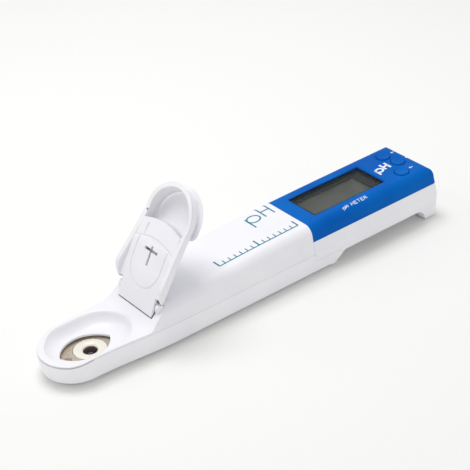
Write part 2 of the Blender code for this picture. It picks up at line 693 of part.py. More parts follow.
def button_places():
    pitch = 2 * (BUTTON_RADIUS + BUTTON_LIP) + GAP
    return [(name, LENGTH + dx, pitch * row - 0.4) for name, dx, row in BUTTONS]


def inside_height(x, y):
    """Height of the panel's inside at a place."""
    depth = EDGE_IN * edge_drop(x) / EDGE_DROP
    share = min(max(((half_width(x) - CASE_WALL - abs(y)) / depth - 0.25) / 0.75, 0.0), 1.0)
    return top_height(x) - CASE_WALL - edge_drop(x) * (1 - sqrt(1 - (1 - share) ** 2))


def make_lower_case(white):
    front = CARTRIDGE_LENGTH + GAP / 2
    profile = [(front, TONGUE_TOP + GAP)] + tongue_end(GAP)[:3]
    arch_x = KINK_START + ARCH_HEIGHT / KINK_SLOPE
    profile += [(arch_x, ARCH_HEIGHT), (LENGTH + 5, ARCH_HEIGHT), (LENGTH + 5, SPLIT_HEIGHT - GAP / 2),
                (front, SPLIT_HEIGHT - GAP / 2)]
    case = add_solid("lower_case", body_form(), white)
    combine(case, "INTERSECT", add_cutter("case_zone", prism(profile, -30, 30, "y")))
    bay_start, bay_end = cell_bay()
    combine(case, "DIFFERENCE",
            add_cutter("case_hollow", tunnel(bay_start - 1.0, LENGTH - CASE_WALL, CASE_WALL, DECK_TOP)),
            add_cutter("front_hollow", tunnel(front + 1.2, bay_start - 0.9, CASE_WALL, BAY_FLOOR)))
    reach = COVER_PLATE_HALF_WIDTH + GAP
    ledge = ARCH_HEIGHT + RAIL / 2
    plate_start = bay_start - 0.5
    combine(case, "DIFFERENCE",
            add_cutter("cover_run", box(plate_start, LENGTH + 5, -reach, reach, ledge, COVER_PLATE_TOP + GAP)),
            add_cutter("cover_gap", box(plate_start, LENGTH + 5, RAIL - reach, reach - RAIL, 0, ledge + 0.1)))
    bay = prism(stadium(bay_start, bay_end, CELL_RADIUS + CELL_CLEARANCE, steps=14), COVER_PLATE_TOP - 1,
                DECK_BOTTOM, "z")
    combine(case, "DIFFERENCE", add_cutter("cell_bay", bay))
    mouth = PLUG_HALF_WIDTH + GAP + 1.0
    opening = box(front - 3, front + 3, -mouth, mouth, BAY_FLOOR, PLUG_TOP + GAP + 1.0)
    combine(case, "DIFFERENCE", add_cutter("plug_mouth", opening))
    for name, x, y in screw_places():
        low = COVER_PLATE_TOP + GAP if "rear" in name else TONGUE_TOP + GAP
        post = prism(circle((x, y), BOSS_RADIUS + 0.3, 20), low, DECK_TOP, "z")
        combine(case, "UNION", add_cutter("post_" + name, post))
    for name, x, y in screw_places():
        hole = prism(circle((x, y), SCREW_RADIUS + GAP, 16), 0, DECK_TOP + 1, "z")
        sink = prism(circle((x, y), SCREW_HEAD_RADIUS + GAP, 20), 0, 8.4, "z")
        combine(case, "DIFFERENCE", add_cutter("hole_" + name, hole), add_cutter("sink_" + name, sink))


def make_front_panel(blue):
    front = CARTRIDGE_LENGTH + GAP / 2
    low = SPLIT_HEIGHT + GAP / 2
    panel = add_solid("front_panel", body_form(), blue)
    zone = box(front, LENGTH + 5, -30, 30, low, 40)
    # the hollow stops short of the rounded rear edge, with room below it for the gasket
    hollow = tunnel(front + 1.2, LENGTH - CASE_WALL - 0.5 * EDGE_IN, CASE_WALL, SPLIT_HEIGHT - 3)
    rear_half = HALF_WIDTH - CASE_WALL - 0.3 * EDGE_IN
    rear_room = box(LENGTH - CASE_WALL - EDGE_IN, LENGTH - CASE_WALL, -rear_half, rear_half,
                    SPLIT_HEIGHT - 3.1, SPLIT_HEIGHT + 0.7 + GAP)
    combine(panel, "INTERSECT", add_cutter("panel_zone", zone))
    combine(panel, "DIFFERENCE", add_cutter("panel_hollow", hollow), add_cutter("panel_rear_room", rear_room))
    for name, x, y in screw_places():
        boss = prism(circle((x, y), BOSS_RADIUS, 20), BOARD_BOTTOM + BOARD + GAP, top_height(x) - 2.2, "z")
        combine(panel, "UNION", add_cutter("boss_" + name, boss))
    for name, x, y in screw_places():
        hole = prism(circle((x, y), SCREW_RADIUS + GAP, 16), 10, 16.9, "z")
        combine(panel, "DIFFERENCE", add_cutter("bore_" + name, hole))
    window = box(DISPLAY_START, display_end(), -DISPLAY_HALF_WIDTH, DISPLAY_HALF_WIDTH, 16, 40)
    combine(panel, "DIFFERENCE", add_cutter("display_window", window))
    for name, x, y in button_places():
        hole = prism(circle((x, y), BUTTON_RADIUS + GAP, 24), 16, 40, "z")
        combine(panel, "DIFFERENCE", add_cutter("button_hole_" + name, hole))


def make_case_gasket(rubber):
    rear = LENGTH - CASE_WALL - GAP
    half = HALF_WIDTH - CASE_WALL - GAP - 0.3 * EDGE_IN
    front = CARTRIDGE_LENGTH + GAP / 2 + 1.2 + GAP
    low, high = BOARD_BOTTOM + BOARD + GAP, SPLIT_HEIGHT + 0.7
    gasket = add_solid("case_gasket", box(front, rear, -half, half, low, high), rubber, None, False)
    thickness = 0.8
    inner = [(front + thickness, thickness - half), (rear - thickness, thickness - half),
             (rear - thickness, half - thickness), (front + thickness, half - thickness)]
    combine(gasket, "DIFFERENCE", add_cutter("gasket_inner", prism(inner, low - 1, high + 1, "z")))
    for name, x, y in screw_places():
        collar = prism(circle((x, y), BOSS_RADIUS + GAP + thickness, 20), low, high, "z")
        combine(gasket, "UNION", add_cutter("gasket_collar_" + name, collar))
    outer = box(front, rear, -half, half, low - 1, high + 1)
    combine(gasket, "INTERSECT", add_cutter("gasket_outer", outer))
    middle = (front + rear) / 2
    for name, x, y in screw_places():
        notch = prism(circle((x, y), BOSS_RADIUS + GAP, 20), low - 1, high + 1, "z")
        end = rear + 1 if x > middle else front - 1
        side = half + 1 if y > 0 else -half - 1
        corner = box(min(x, end), max(x, end), min(y, side), max(y, side), low - 1, high + 1)
        combine(gasket, "DIFFERENCE", add_cutter("gasket_notch_" + name, notch),
                add_cutter("gasket_corner_" + name, corner))


def make_display(mats):
    x0, x1, half = DISPLAY_START, display_end(), DISPLAY_HALF_WIDTH
    lens = box(x0 + GAP, x1 - GAP, GAP - half, half - GAP, LENS_TOP - LENS, LENS_TOP)
    add_solid("window_lens", lens, mats["clear"], None, False)
    bezel_low = LCD_TOP + GAP
    bezel = add_solid("lcd_bezel", box(x0 - 0.7, x1 + 0.9, -half - 1.9, half + 1.9, bezel_low,
                                       bezel_low + BEZEL_HEIGHT), mats["dark"], None, False)
    hole = box(x0 + 0.9, x1 - 3.5, 1.2 - half, half - 1.2, bezel_low - 1, bezel_low + 3)
    combine(bezel, "DIFFERENCE", add_cutter("bezel_hole", hole))
    lcd_low = LCD_TOP - LCD_HEIGHT
    add_solid("lcd_panel", box(x0 - 0.4, x1 + 0.5, -half - 1.6, half + 1.6, lcd_low, LCD_TOP), mats["lcd"],
              None, False)
    zebra_low = BOARD_BOTTOM + BOARD + GAP
    for side, name in ((1, "left"), (-1, "right")):
        inner, outer = side * (half + 0.2), side * (half + 1.2)
        strip = box(x0 + 2, x1 - 2, min(inner, outer), max(inner, outer), zebra_low, lcd_low - GAP)
        add_solid("contact_rubber_" + name, strip, mats["rubber"], None, False)


def make_board(mats):
    start, end = CARTRIDGE_LENGTH + 3.2, LENGTH - CASE_WALL - 1.9
    half = HALF_WIDTH - CASE_WALL - 1.3
    low, high = BOARD_BOTTOM, BOARD_BOTTOM + BOARD
    board = add_solid("main_board", box(start, end, -half, half, low, high), mats["board"], None, False)
    for name, x, y in screw_places():
        cut = prism(circle((x, y), BOSS_RADIUS + 0.6, 20), low - 1, high + 1, "z")
        combine(board, "DIFFERENCE", add_cutter("board_cut_" + name, cut))
    chip_x = DISPLAY_START + 12
    add_solid("processor_chip", box(chip_x, chip_x + 9, -4.5, 4.5, high + GAP, high + GAP + 1.0), mats["dark"],
              None, False)
    for name, x, y in button_places():
        levels = [(2.0, high + GAP), (1.6, high + GAP + 0.25), (0.7, high + GAP + 0.4)]
        dome = stack([(circle((x, y), r, 20), z) for r, z in levels])
        add_solid("switch_dome_" + name, dome, mats["steel"])
    plug_end = CARTRIDGE_LENGTH + PLUG_REACH
    spring_low = PLUG_TOP + GAP + FILM + GAP
    comb_x = plug_end + 0.4
    springs = add_solid("contact_springs", box(comb_x, comb_x + 0.8, -6.0, 6.0, spring_low, low - GAP),
                        mats["gold"], None, False)
    for k in range(5):
        y = 2.4 * (k - 2)
        finger = box(plug_end - 4.4, comb_x + 0.2, y - 0.5, y + 0.5, spring_low, spring_low + 0.3)
        combine(springs, "UNION", add_cutter("finger_%d" % (k + 1), finger))


def make_battery(mats):
    bay_start, bay_end = cell_bay()
    bay_radius = CELL_RADIUS + CELL_CLEARANCE
    centres = (("front", bay_start + bay_radius), ("rear", bay_end - bay_radius))
    cell_top = CELL_BOTTOM + CELL_HEIGHT
    for name, x in centres:
        levels = [(CELL_RADIUS - 1.4, CELL_BOTTOM), (CELL_RADIUS - 1.2, CELL_BOTTOM + 0.5),
                  (CELL_RADIUS - 0.3, CELL_BOTTOM + 0.5), (CELL_RADIUS, CELL_BOTTOM + 0.9),
                  (CELL_RADIUS, cell_top - 0.3), (CELL_RADIUS - 0.3, cell_top)]
        cell = stack([(circle((x, 0), r - 0.1, 32), z) for r, z in levels])
        add_solid("coin_cell_" + name, cell, mats["steel"])
        blade = box(x - 7, x + 7, -2.5, 2.5, cell_top + GAP, cell_top + 0.6)
        add_solid("battery_contact_" + name, blade, mats["brass"], None, False)
    return centres


def make_screws(steel):
    head_low = 7.1
    for name, x, y in screw_places():
        levels = [(SCREW_HEAD_RADIUS, head_low), (SCREW_HEAD_RADIUS, head_low + 1.0), (SCREW_RADIUS, head_low + 1.0),
                  (SCREW_RADIUS, 16.3)]
        add_solid("case_screw_" + name, stack([(circle((x, y), r, 16), z) for r, z in levels]), steel)


def make_battery_cover(mats, slide, centres):
    bay_start, _ = cell_bay()
    start = bay_start - 0.2
    foot_x = LENGTH - FOOT_LENGTH
    foot_top = ARCH_HEIGHT - GAP
    arch = [(foot_x - ARCH_ROUND + ARCH_ROUND * sin(t), foot_top - ARCH_ROUND + ARCH_ROUND * cos(t))
            for t in (0, radians(30), radians(60), radians(80))]
    foot = arch + [(foot_x + 0.4, -1), (LENGTH + 5, -1), (LENGTH + 5, foot_top)]
    cover = add_solid("battery_cover", body_form(), mats["white"], slide)
    combine(cover, "INTERSECT", add_cutter("foot_zone", prism(foot, -30, 30, "y"), slide))
    half = COVER_PLATE_HALF_WIDTH
    ledge = ARCH_HEIGHT + RAIL / 2 + GAP
    step = RAIL + GAP
    rail = [(start, ledge), (LENGTH - 0.4, ledge), (LENGTH - 0.4, COVER_PLATE_TOP), (start, COVER_PLATE_TOP)]
    core = [(start, ARCH_HEIGHT), (foot_x, ARCH_HEIGHT), (foot_x, ARCH_HEIGHT - 1), (LENGTH - 0.4, ARCH_HEIGHT - 1),
            (LENGTH - 0.4, COVER_PLATE_TOP), (start, COVER_PLATE_TOP)]
    combine(cover, "UNION", add_cutter("cover_core", prism(core, step - half, half - step, "y"), slide),
            add_cutter("cover_rails", prism(rail, -half, half, "y"), slide))
    x0, x1 = centres[0][1] - 2, centres[1][1] + 2
    seat = COVER_PLATE_TOP - 0.25
    recess = box(x0 - GAP, x1 + GAP, -2.0 - GAP, 2.0 + GAP, seat - GAP, COVER_PLATE_TOP + 1)
    combine(cover, "DIFFERENCE", add_cutter("bridge_recess", recess, slide))
    add_solid("battery_bridge", box(x0, x1, -2.0, 2.0, seat, COVER_PLATE_TOP), mats["brass"], slide, False)


def make_buttons(mats):
    radius = BUTTON_RADIUS + BUTTON_LIP
    for name, x, y in button_places():
        top = top_height(x) + 0.35
        empty = joint_empty("button_axis_" + name, (x, y, top))
        flange = inside_height(x - radius, abs(y) + radius) - GAP - 0.15
        levels = [(1.0, BOARD_BOTTOM + BOARD + GAP + 0.4 + GAP + BUTTON_TRAVEL), (1.0, flange - BUTTON_FLANGE),
                  (radius, flange - BUTTON_FLANGE), (radius, flange),
                  (BUTTON_RADIUS, flange), (BUTTON_RADIUS, top - 0.5), (BUTTON_RADIUS - 0.35, top - 0.15),
                  (BUTTON_RADIUS - 1.2, top)]
        cap = stack([(circle((x, y), r, 24), z) for r, z in levels])
        add_solid("button_" + name, cap, mats["blue"], empty)


def main():
    clear_scene()
    mats = {
        "white": make_material("white_abs", (0.86, 0.86, 0.89), 0.35),
        "blue": make_material("blue_abs", (0.0, 0.18, 0.75), 0.3),
        "cream": make_material("cream_resin", (0.82, 0.78, 0.66), 0.4),
        "sensor_glass": make_material("sensor_glass", (0.10, 0.01, 0.02), 0.05),
        "porous": make_material("porous_junction", (0.66, 0.55, 0.40), 0.8),
        "natural": make_material("natural_plastic", (0.80, 0.80, 0.76), 0.5),
        "gel": make_material("electrolyte_gel", (0.55, 0.65, 0.70), 0.2, transmission=0.5),
        "film": make_material("polyester_film", (0.75, 0.50, 0.12), 0.3),
        "gold": make_material("gold_contacts", (0.90, 0.65, 0.25), 0.25, 1.0),
        "brass": make_material("brass_spring", (0.75, 0.60, 0.30), 0.3, 1.0),
        "steel": make_material("stainless_steel", (0.62, 0.62, 0.64), 0.3, 1.0),
        "rubber": make_material("black_rubber", (0.03, 0.03, 0.03), 0.8),
        "dark": make_material("black_plastic", (0.02, 0.02, 0.025), 0.4),
        "clear": make_material("clear_acrylic", (0.95, 0.95, 0.95), 0.03, transmission=1.0),
        "lcd": make_material("lcd_glass", (0.12, 0.12, 0.10), 0.2),
        "board": make_material("green_board", (0.02, 0.20, 0.08), 0.5),
    }
    cartridge = joint_empty("cartridge_slide", (CARTRIDGE_LENGTH, 0.0, PLUG_BOTTOM))
    tab_hinge = joint_empty("release_tab_hinge", (TAB_HINGE_X, 0.0, WALL / 2))
    cover_hinge = joint_empty("cover_hinge", (PIVOT_X, 0.0, PIVOT_Z), radians(OPEN_ANGLE))
    cap_slide = joint_empty("slide_cap_axis", (CAP_LENGTH, 0.0, top_height(CAP_LENGTH)), 0.0, cover_hinge)
    battery_slide = joint_empty("battery_cover_slide", (LENGTH, 0.0, ARCH_HEIGHT))

    make_cartridge_lower_shell(mats["white"], cartridge)
    make_cartridge_upper_shell(mats["white"], cartridge)
    make_release_tab(mats["white"], tab_hinge)
    make_hinge_pin(mats["steel"], cartridge)
    make_sensor(mats, cartridge)
    bead, strip_z = make_cartridge_inside(mats, cartridge)
    add_solid("thermistor", bead, mats["dark"], cartridge)
    make_plug(mats, cartridge, strip_z)

    make_cover_shell(mats["white"], cover_hinge)
    make_cover_inner_plate(mats["white"], cover_hinge)
    make_cover_tongue(mats["white"], cover_hinge)
    make_slide_cap(mats["white"], cap_slide)

    make_lower_case(mats["white"])
    make_front_panel(mats["blue"])
    make_case_gasket(mats["rubber"])
    make_display(mats)
    make_board(mats)
    centres = make_battery(mats)
    make_screws(mats["steel"])
    make_battery_cover(mats, battery_slide, centres)
    make_buttons(mats)


main()
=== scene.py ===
import json
from math import atan, cos, exp, pi, radians, sin, sqrt
import bmesh
import bpy
from mathutils import Matrix, Vector


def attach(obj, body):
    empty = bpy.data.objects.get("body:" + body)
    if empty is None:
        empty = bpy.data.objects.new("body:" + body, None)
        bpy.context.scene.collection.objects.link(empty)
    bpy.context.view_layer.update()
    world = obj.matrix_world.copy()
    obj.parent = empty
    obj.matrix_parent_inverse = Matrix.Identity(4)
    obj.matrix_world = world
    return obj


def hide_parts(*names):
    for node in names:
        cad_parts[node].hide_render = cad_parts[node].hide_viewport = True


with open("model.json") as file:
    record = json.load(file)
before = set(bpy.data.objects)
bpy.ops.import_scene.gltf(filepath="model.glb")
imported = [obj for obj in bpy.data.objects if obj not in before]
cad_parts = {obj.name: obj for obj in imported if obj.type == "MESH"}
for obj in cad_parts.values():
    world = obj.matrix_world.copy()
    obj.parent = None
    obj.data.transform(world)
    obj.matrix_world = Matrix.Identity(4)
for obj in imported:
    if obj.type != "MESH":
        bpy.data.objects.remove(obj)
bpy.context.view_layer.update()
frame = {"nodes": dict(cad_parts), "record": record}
nodes = frame["nodes"]
print("frame loaded:", len(nodes), "nodes")

mm = 0.001

# the outside form, in mm from the sensor tip
form = {"length": 164.0, "halfWidth": 14.5, "tipRadius": 12.3, "widenEnd": 46.0, "rearCorner": 3.0,
        "hingeX": 40.0, "hingeTop": 15.8, "rearHeight": 20.2, "rise": 33.0, "coverSlope": 0.06,
        "creaseTip": 8.2, "crease": 9.35, "edgeDrop": 4.2, "edgeIn": 4.7, "undercutHeight": 1.7,
        "undercutIn": 4.0, "lowerDraft": 0.6, "kinkStart": 110.8, "kinkSlope": 0.8, "tongueEnd": 116.2,
        "tongueTop": 6.3, "cartridgeEnd": 103.6, "archHeight": 5.3, "footLength": 7.6, "splitHeight": 13.9,
        "hairline": 0.03,      # moulded shells meet this close, so their seams hardly show
        "tipSteps": 26, "edgeSteps": 9, "cornerSteps": 8}


# colour and node helpers

def linearColor(hexCode):
    channels = [int(hexCode[k:k + 2], 16) / 255 for k in (1, 3, 5)]
    return tuple(c / 12.92 if c <= 0.04045 else ((c + 0.055) / 1.055) ** 2.4 for c in channels) + (1.0,)


def addNode(tree, kind, settings=None, links=None):
    node = tree.nodes.new(kind)
    for key, value in (settings or {}).items():
        if isinstance(key, str) and hasattr(node, key):
            setattr(node, key, value)
        else:
            node.inputs[key].default_value = value
    for key, source in (links or {}).items():
        tree.links.new(source, node.inputs[key])
    return node


def makeFinish(name, recipe):
    # one pattern mixes the two colours; a second, often finer one gives the polish and the relief
    material = bpy.data.materials.new(name)
    material.use_nodes = True
    tree = material.node_tree
    shader = tree.nodes["Principled BSDF"]
    for key, value in recipe["surface"].items():
        shader.inputs[key].default_value = value
    place = addNode(tree, "ShaderNodeTexCoord").outputs["Object"]
    along = addNode(tree, "ShaderNodeMapping", {"Scale": recipe.get("stretch", (1, 1, 1))},
                    {"Vector": place})
    kind, size, settings, low, high = recipe["drift"]
    drift = addNode(tree, kind, {"Scale": 1 / (size * mm), **settings}, {"Vector": along.outputs[0]})
    share = addNode(tree, "ShaderNodeMapRange", {1: low, 2: high},
                    {0: drift.outputs[recipe.get("output", 0)]})
    colors = addNode(tree, "ShaderNodeMix", {"data_type": "RGBA", 6: linearColor(recipe["light"]),
                                             7: linearColor(recipe["dark"])}, {0: share.outputs[0]})
    tree.links.new(colors.outputs[2], shader.inputs["Base Color"])
    size, settings, depth, edge = recipe["skin"]
    skin = addNode(tree, "ShaderNodeTexNoise", {"Scale": 1 / (size * mm), **settings},
                   {"Vector": along.outputs[0]})
    rough = recipe["surface"]["Roughness"]
    less, more = recipe.get("polish", (0.0, 0.0))
    polish = addNode(tree, "ShaderNodeMapRange", {1: 0.3, 2: 0.7, 3: rough - less, 4: rough + more},
                     {0: skin.outputs[0]})
    tree.links.new(polish.outputs[0], shader.inputs["Roughness"])
    soft = addNode(tree, "ShaderNodeBevel", {"samples": 4, "Radius": edge * mm})
    bump = addNode(tree, "ShaderNodeBump", {"Distance": depth * mm},
                   {"Height": skin.outputs[0], "Normal": soft.outputs[0]})
    tree.links.new(bump.outputs[0], shader.inputs["Normal"])
    return material


def moulded(light, dark, roughness, sheen=0.5):
    # the real grain is about 0.05 mm; it is drawn at 0.3 mm so that it shows
    return {"light": light, "dark": dark,
            "surface": {"Roughness": roughness, "IOR": 1.53, "Specular IOR Level": sheen},
            "drift": ("ShaderNodeTexNoise", 18, {"Detail": 2.0}, 0.35, 0.7),
            "skin": (0.3, {"Detail": 3.0, "Roughness": 0.6}, 0.004, 0.22), "polish": (0.05, 0.06)}


def resin(light, dark):
    # specks of filler of 0.5 mm in a cloud of 2.5 mm
    return {"light": light, "dark": dark, "surface": {"Roughness": 0.3, "IOR": 1.55},
            "drift": ("ShaderNodeTexVoronoi", 0.5, {}, 0.1, 0.9),
            "skin": (2.5, {"Detail": 4.0}, 0.01, 0.15)}


def metal(light, dark, roughness, pitch):
    # fine drawn lines run along the piece
    return {"light": light, "dark": dark, "surface": {"Roughness": roughness, "Metallic": 1.0},
            "stretch": (0.04, 1.0, 1.0),
            "drift": ("ShaderNodeTexNoise", pitch, {"Detail": 3.0}, 0.35, 0.65),
            "skin": (pitch, {"Detail": 3.0}, 0.006, 0.05), "polish": (0.08, 0.1)}


def inner(light, dark, roughness, cell, clear=0.0):
    # thin clear or tinted plastic and gel, clouded over cell mm
    return {"light": light, "dark": dark,
            "surface": {"Roughness": roughness, "IOR": 1.45, "Transmission Weight": clear},
            "drift": ("ShaderNodeTexNoise", cell, {"Detail": 3.0}, 0.3, 0.7),
            "skin": (cell, {"Detail": 3.0}, 0.01, 0.05)}


def ink(light, dark):
    # pad-printed: a thin flat layer, slightly uneven where it was pressed on
    return {"light": light, "dark": dark, "surface": {"Roughness": 0.45, "IOR": 1.5},
            "drift": ("ShaderNodeTexNoise", 0.6, {"Detail": 4.0}, 0.4, 0.75),
            "skin": (0.6, {"Detail": 4.0}, 0.004, 0.02)}


# fired pH glass over its inner wire: nearly black maroon with a wet-looking gloss
firedGlass = {"light": "#1C0409", "dark": "#521C28",
              "surface": {"Roughness": 0.08, "IOR": 1.45, "Specular IOR Level": 0.3},
              "drift": ("ShaderNodeTexNoise", 1.6, {"Detail": 3.0, "Distortion": 1.2}, 0.5, 0.68),
              "skin": (1.6, {"Detail": 3.0, "Distortion": 1.2}, 0.05, 0.02)}
# sintered ceramic: beige and dry, full of pores of about 0.1 mm, drawn at 0.2 mm so that they show
ceramic = {"light": "#C9B79C", "dark": "#6F5C45", "surface": {"Roughness": 0.85, "IOR": 1.5},
           "drift": ("ShaderNodeTexVoronoi", 0.22, {}, 0.25, 0.75),
           "skin": (0.22, {"Detail": 2.0}, 0.04, 0.02)}
# nitrile rubber: matt black with a faint grey bloom
rubber = {"light": "#1B1B1C", "dark": "#343433", "surface": {"Roughness": 0.75, "IOR": 1.52},
          "drift": ("ShaderNodeTexNoise", 1.2, {"Detail": 5.0}, 0.45, 0.75),
          "skin": (1.2, {"Detail": 5.0}, 0.02, 0.2)}
# cast acrylic: clear and polished, with the faintest ripple in its reflections
acrylic = {"light": "#E8EEF0", "dark": "#D9E4E6", "surface": {"Roughness": 0.04, "IOR": 1.3, "Alpha": 0.03},
           "drift": ("ShaderNodeTexNoise", 9, {"Detail": 1.0}, 0.0, 1.0),
           "skin": (9, {"Detail": 1.0}, 0.004, 0.05)}
# liquid crystal glass under its polariser: grey-olive, with the matt cast of the film
polariser = {"light": "#4C4E43", "dark": "#3F4138",
             "surface": {"Roughness": 0.45, "IOR": 1.5, "Specular IOR Level": 0.2},
             "drift": ("ShaderNodeTexNoise", 7, {"Detail": 3.0}, 0.35, 0.65),
             "skin": (0.25, {"Detail": 2.0}, 0.003, 0.02)}
# green solder mask: the glass weave of 0.5 mm shows faintly through it
board = {"light": "#1C6B3A", "dark": "#0F4A28", "surface": {"Roughness": 0.35, "IOR": 1.5}, "output": "Fac",
         "drift": ("ShaderNodeTexBrick", 2.0, {"Mortar Size": 0.012}, 0.0, 1.0),
         "skin": (0.5, {"Detail": 1.0}, 0.01, 0.05)}
# matt paper sweep: barely any tooth, so that it stays quiet behind the object
paper = {"light": "#FBFBF8", "dark": "#F7F7F3", "surface": {"Roughness": 0.9, "IOR": 1.4},
         "drift": ("ShaderNodeTexNoise", 0.8, {"Detail": 3.0}, 0.0, 1.0),
         "skin": (0.8, {"Detail": 3.0}, 0.001, 0.0)}

# what each finish gives the eye is said here or above its recipe
finish = {
    # an even satin skin with a very fine grain
    "white_abs": makeFinish("whiteAbsMoulded", moulded("#F7F7FA", "#F2F2F7", 0.32)),
    "blue_abs": makeFinish("azureAbsMoulded", moulded("#0068C2", "#0059B5", 0.45, 0.05)),
    # cream and slightly cloudy, with a few fine specks of filler
    "cream_resin": makeFinish("creamEpoxyCast", resin("#FBF9EE", "#EFEAD9")),
    # wet-looking maroon, and dry beige beside it
    "sensor_glass": makeFinish("phGlassFired", firedGlass),
    "porous_junction": makeFinish("sinteredCeramic", ceramic),
    # milky plastic, wet gel and amber film
    "natural_plastic": makeFinish("polypropyleneNatural", inner("#D9D9CF", "#CBCBC0", 0.4, 3.0, 0.2)),
    "electrolyte_gel": makeFinish("potassiumChlorideGel", inner("#B9CBD2", "#A6BCC6", 0.12, 2.0, 0.5)),
    "polyester_film": makeFinish("polyesterFilmAmber", inner("#C88A2C", "#B97A22", 0.25, 1.0)),
    # metals with faint drawn lines that stretch their highlights
    "gold_contacts": makeFinish("goldPlatedContact", metal("#E5BE6A", "#D2A54C", 0.25, 0.3)),
    "brass_spring": makeFinish("springBrassRolled", metal("#C9A45C", "#B08C49", 0.32, 0.3)),
    "stainless_steel": makeFinish("stainlessSteelDrawn", metal("#C2C3C6", "#A5A6AA", 0.32, 0.25)),
    # matt and satin blacks, then the clear window, the grey display and the green board
    "black_rubber": makeFinish("nitrileRubber", rubber),
    "black_plastic": makeFinish("blackPolycarbonateMoulded", moulded("#0B0C12", "#07070C", 0.5, 0.15)),
    "clear_acrylic": makeFinish("castAcrylicLens", acrylic),
    "lcd_glass": makeFinish("lcdPolariser", polariser),
    "green_board": makeFinish("solderMaskBoard", board),
}
tealInk = makeFinish("tealPadPrint", ink("#007F93", "#0A8C9C"))
whiteInk = makeFinish("whitePadPrint", ink("#F4FAFF", "#DCEBFA"))
paperWhite = makeFinish("paperSweep", paper)
holderResin = makeFinish("beigeEpoxyCast", resin("#CFC4B4", "#AFA08C"))
print("materials made:", len(finish) + 4)

for entry in frame["record"]["subparts"]:
    node = nodes[entry["node"]]
    node.data.materials.clear()
    node.data.materials.append(finish[entry["material_slot"]])


# shapes, worked out in mm from the sensor tip

def ease(x, start, end):
    t = min(max((x - start) / (end - start), 0.0), 1.0)
    return t * t * (3 - 2 * t)


def halfWidth(x):
    widening = form["halfWidth"] - form["tipRadius"]
    return form["tipRadius"] + widening * ease(x, form["tipRadius"], form["widenEnd"])


def topHeight(x):
    if x <= form["hingeX"]:
        return form["hingeTop"] - form["coverSlope"] * (form["hingeX"] - x)
    climb = form["rearHeight"] - form["hingeTop"]
    return form["rearHeight"] - climb * exp((form["hingeX"] - x) / form["rise"])


def creaseHeight(x):
    return form["creaseTip"] + (form["crease"] - form["creaseTip"]) * ease(x, 4.0, form["tipRadius"] + 0.7)


def undercutShare(x):
    return 1 - 0.85 * ease(x, form["kinkStart"], form["tongueEnd"])


def edgeDrop(x):
    return min(form["edgeDrop"], 0.6 * (topHeight(x) - creaseHeight(x)))


def edgeRing(turn, shrink=0.0):
    def inset(x):
        depth = form["edgeIn"] * edgeDrop(x) / form["edgeDrop"]
        return shrink + depth * (0.25 + 0.75 * (1 - cos(turn)))

    def height(x):
        return topHeight(x) - shrink - edgeDrop(x) * (1 - sin(turn))
    return inset, height


def surfaceHeight(x, y):
    depth = form["edgeIn"] * edgeDrop(x) / form["edgeDrop"]
    share = min(max(((halfWidth(x) - abs(y)) / depth - 0.25) / 0.75, 0.0), 1.0)
    return topHeight(x) - edgeDrop(x) * (1 - sqrt(1 - (1 - share) ** 2))


def sideStations(rear):
    places = [form["tipRadius"] + 2.3 * k for k in range(1, 13)] + [43.0 + 4.0 * k for k in range(15)]
    places += [form["cartridgeEnd"], 107.0, form["kinkStart"] - 0.7, 113.0, form["tongueEnd"] + 0.7, 122.0,
               128.0, 134.0, 140.0, 146.0, 151.0, 155.9]
    return [x for x in places if x < rear - form["rearCorner"] - 1.0]


def fixed(inset, height):
    # a ring with the same inset and height all along
    return lambda x: inset, lambda x: height


def outline(inset, rear):
    points = []
    for k in range(form["tipSteps"] + 1):
        turn = radians(90) * k / form["tipSteps"]
        radius = form["tipRadius"] - inset(form["tipRadius"] * (1 - cos(turn)))
        points.append((form["tipRadius"] - radius * cos(turn), radius * sin(turn)))
    points += [(x, halfWidth(x) - inset(x)) for x in sideStations(rear)]
    depth = inset(rear)
    radius = max(form["rearCorner"] - depth, 0.4)
    middleX, middleY = rear - depth - radius, halfWidth(rear) - depth - radius
    for k in range(form["cornerSteps"] + 1):
        turn = radians(90) * k / form["cornerSteps"]
        points.append((middleX + radius * sin(turn), middleY + radius * cos(turn)))
    return points


def ringSolid(rings, rear):
    verts, faces = [], []
    count = 0
    for inset, height in rings:
        half = outline(inset, rear)
        ring = half + [(x, -y) for x, y in reversed(half[1:])]
        count = len(ring)
        verts += [(x, y, height(x)) for x, y in ring]
    for level in range(len(rings) - 1):
        low, high = level * count, (level + 1) * count
        faces += [(low + k, low + (k + 1) % count, high + (k + 1) % count, high + k) for k in range(count)]
    for base in (0, (len(rings) - 1) * count):
        for k in range(count // 2):
            strip = [base + k, base + k + 1, base + count - k - 1, base + (count - k) % count]
            faces.append(tuple(dict.fromkeys(strip)))
    return verts, faces


def lowerRing(share):
    # from the underside (0) round the lower edge to the side wall (1)
    def inset(x):
        low, edge = form["undercutIn"] * undercutShare(x), form["lowerDraft"]
        start, between, end = (1 - share) ** 2, 2 * share * (1 - share), share ** 2
        return start * (low * 0.2 + edge * 0.8) + between * edge + end * edge * 0.95

    def height(x):
        edge = form["undercutHeight"] * undercutShare(x)
        return (1 - share) ** 2 * edge * 0.8 + 2 * share * (1 - share) * edge + share ** 2 * (edge + 0.4)
    return inset, height


def bodyForm():
    rings = [(lambda x: form["undercutIn"] * undercutShare(x), lambda x: 0.0)]
    rings += [lowerRing(k / 5) for k in range(6)]
    rings += [(lambda x: 0.03, lambda x: creaseHeight(x) - 0.45), (lambda x: 0.0, creaseHeight)]
    rings += [edgeRing(radians(90) * k / form["edgeSteps"]) for k in range(form["edgeSteps"] + 1)]
    return ringSolid(rings, form["length"])


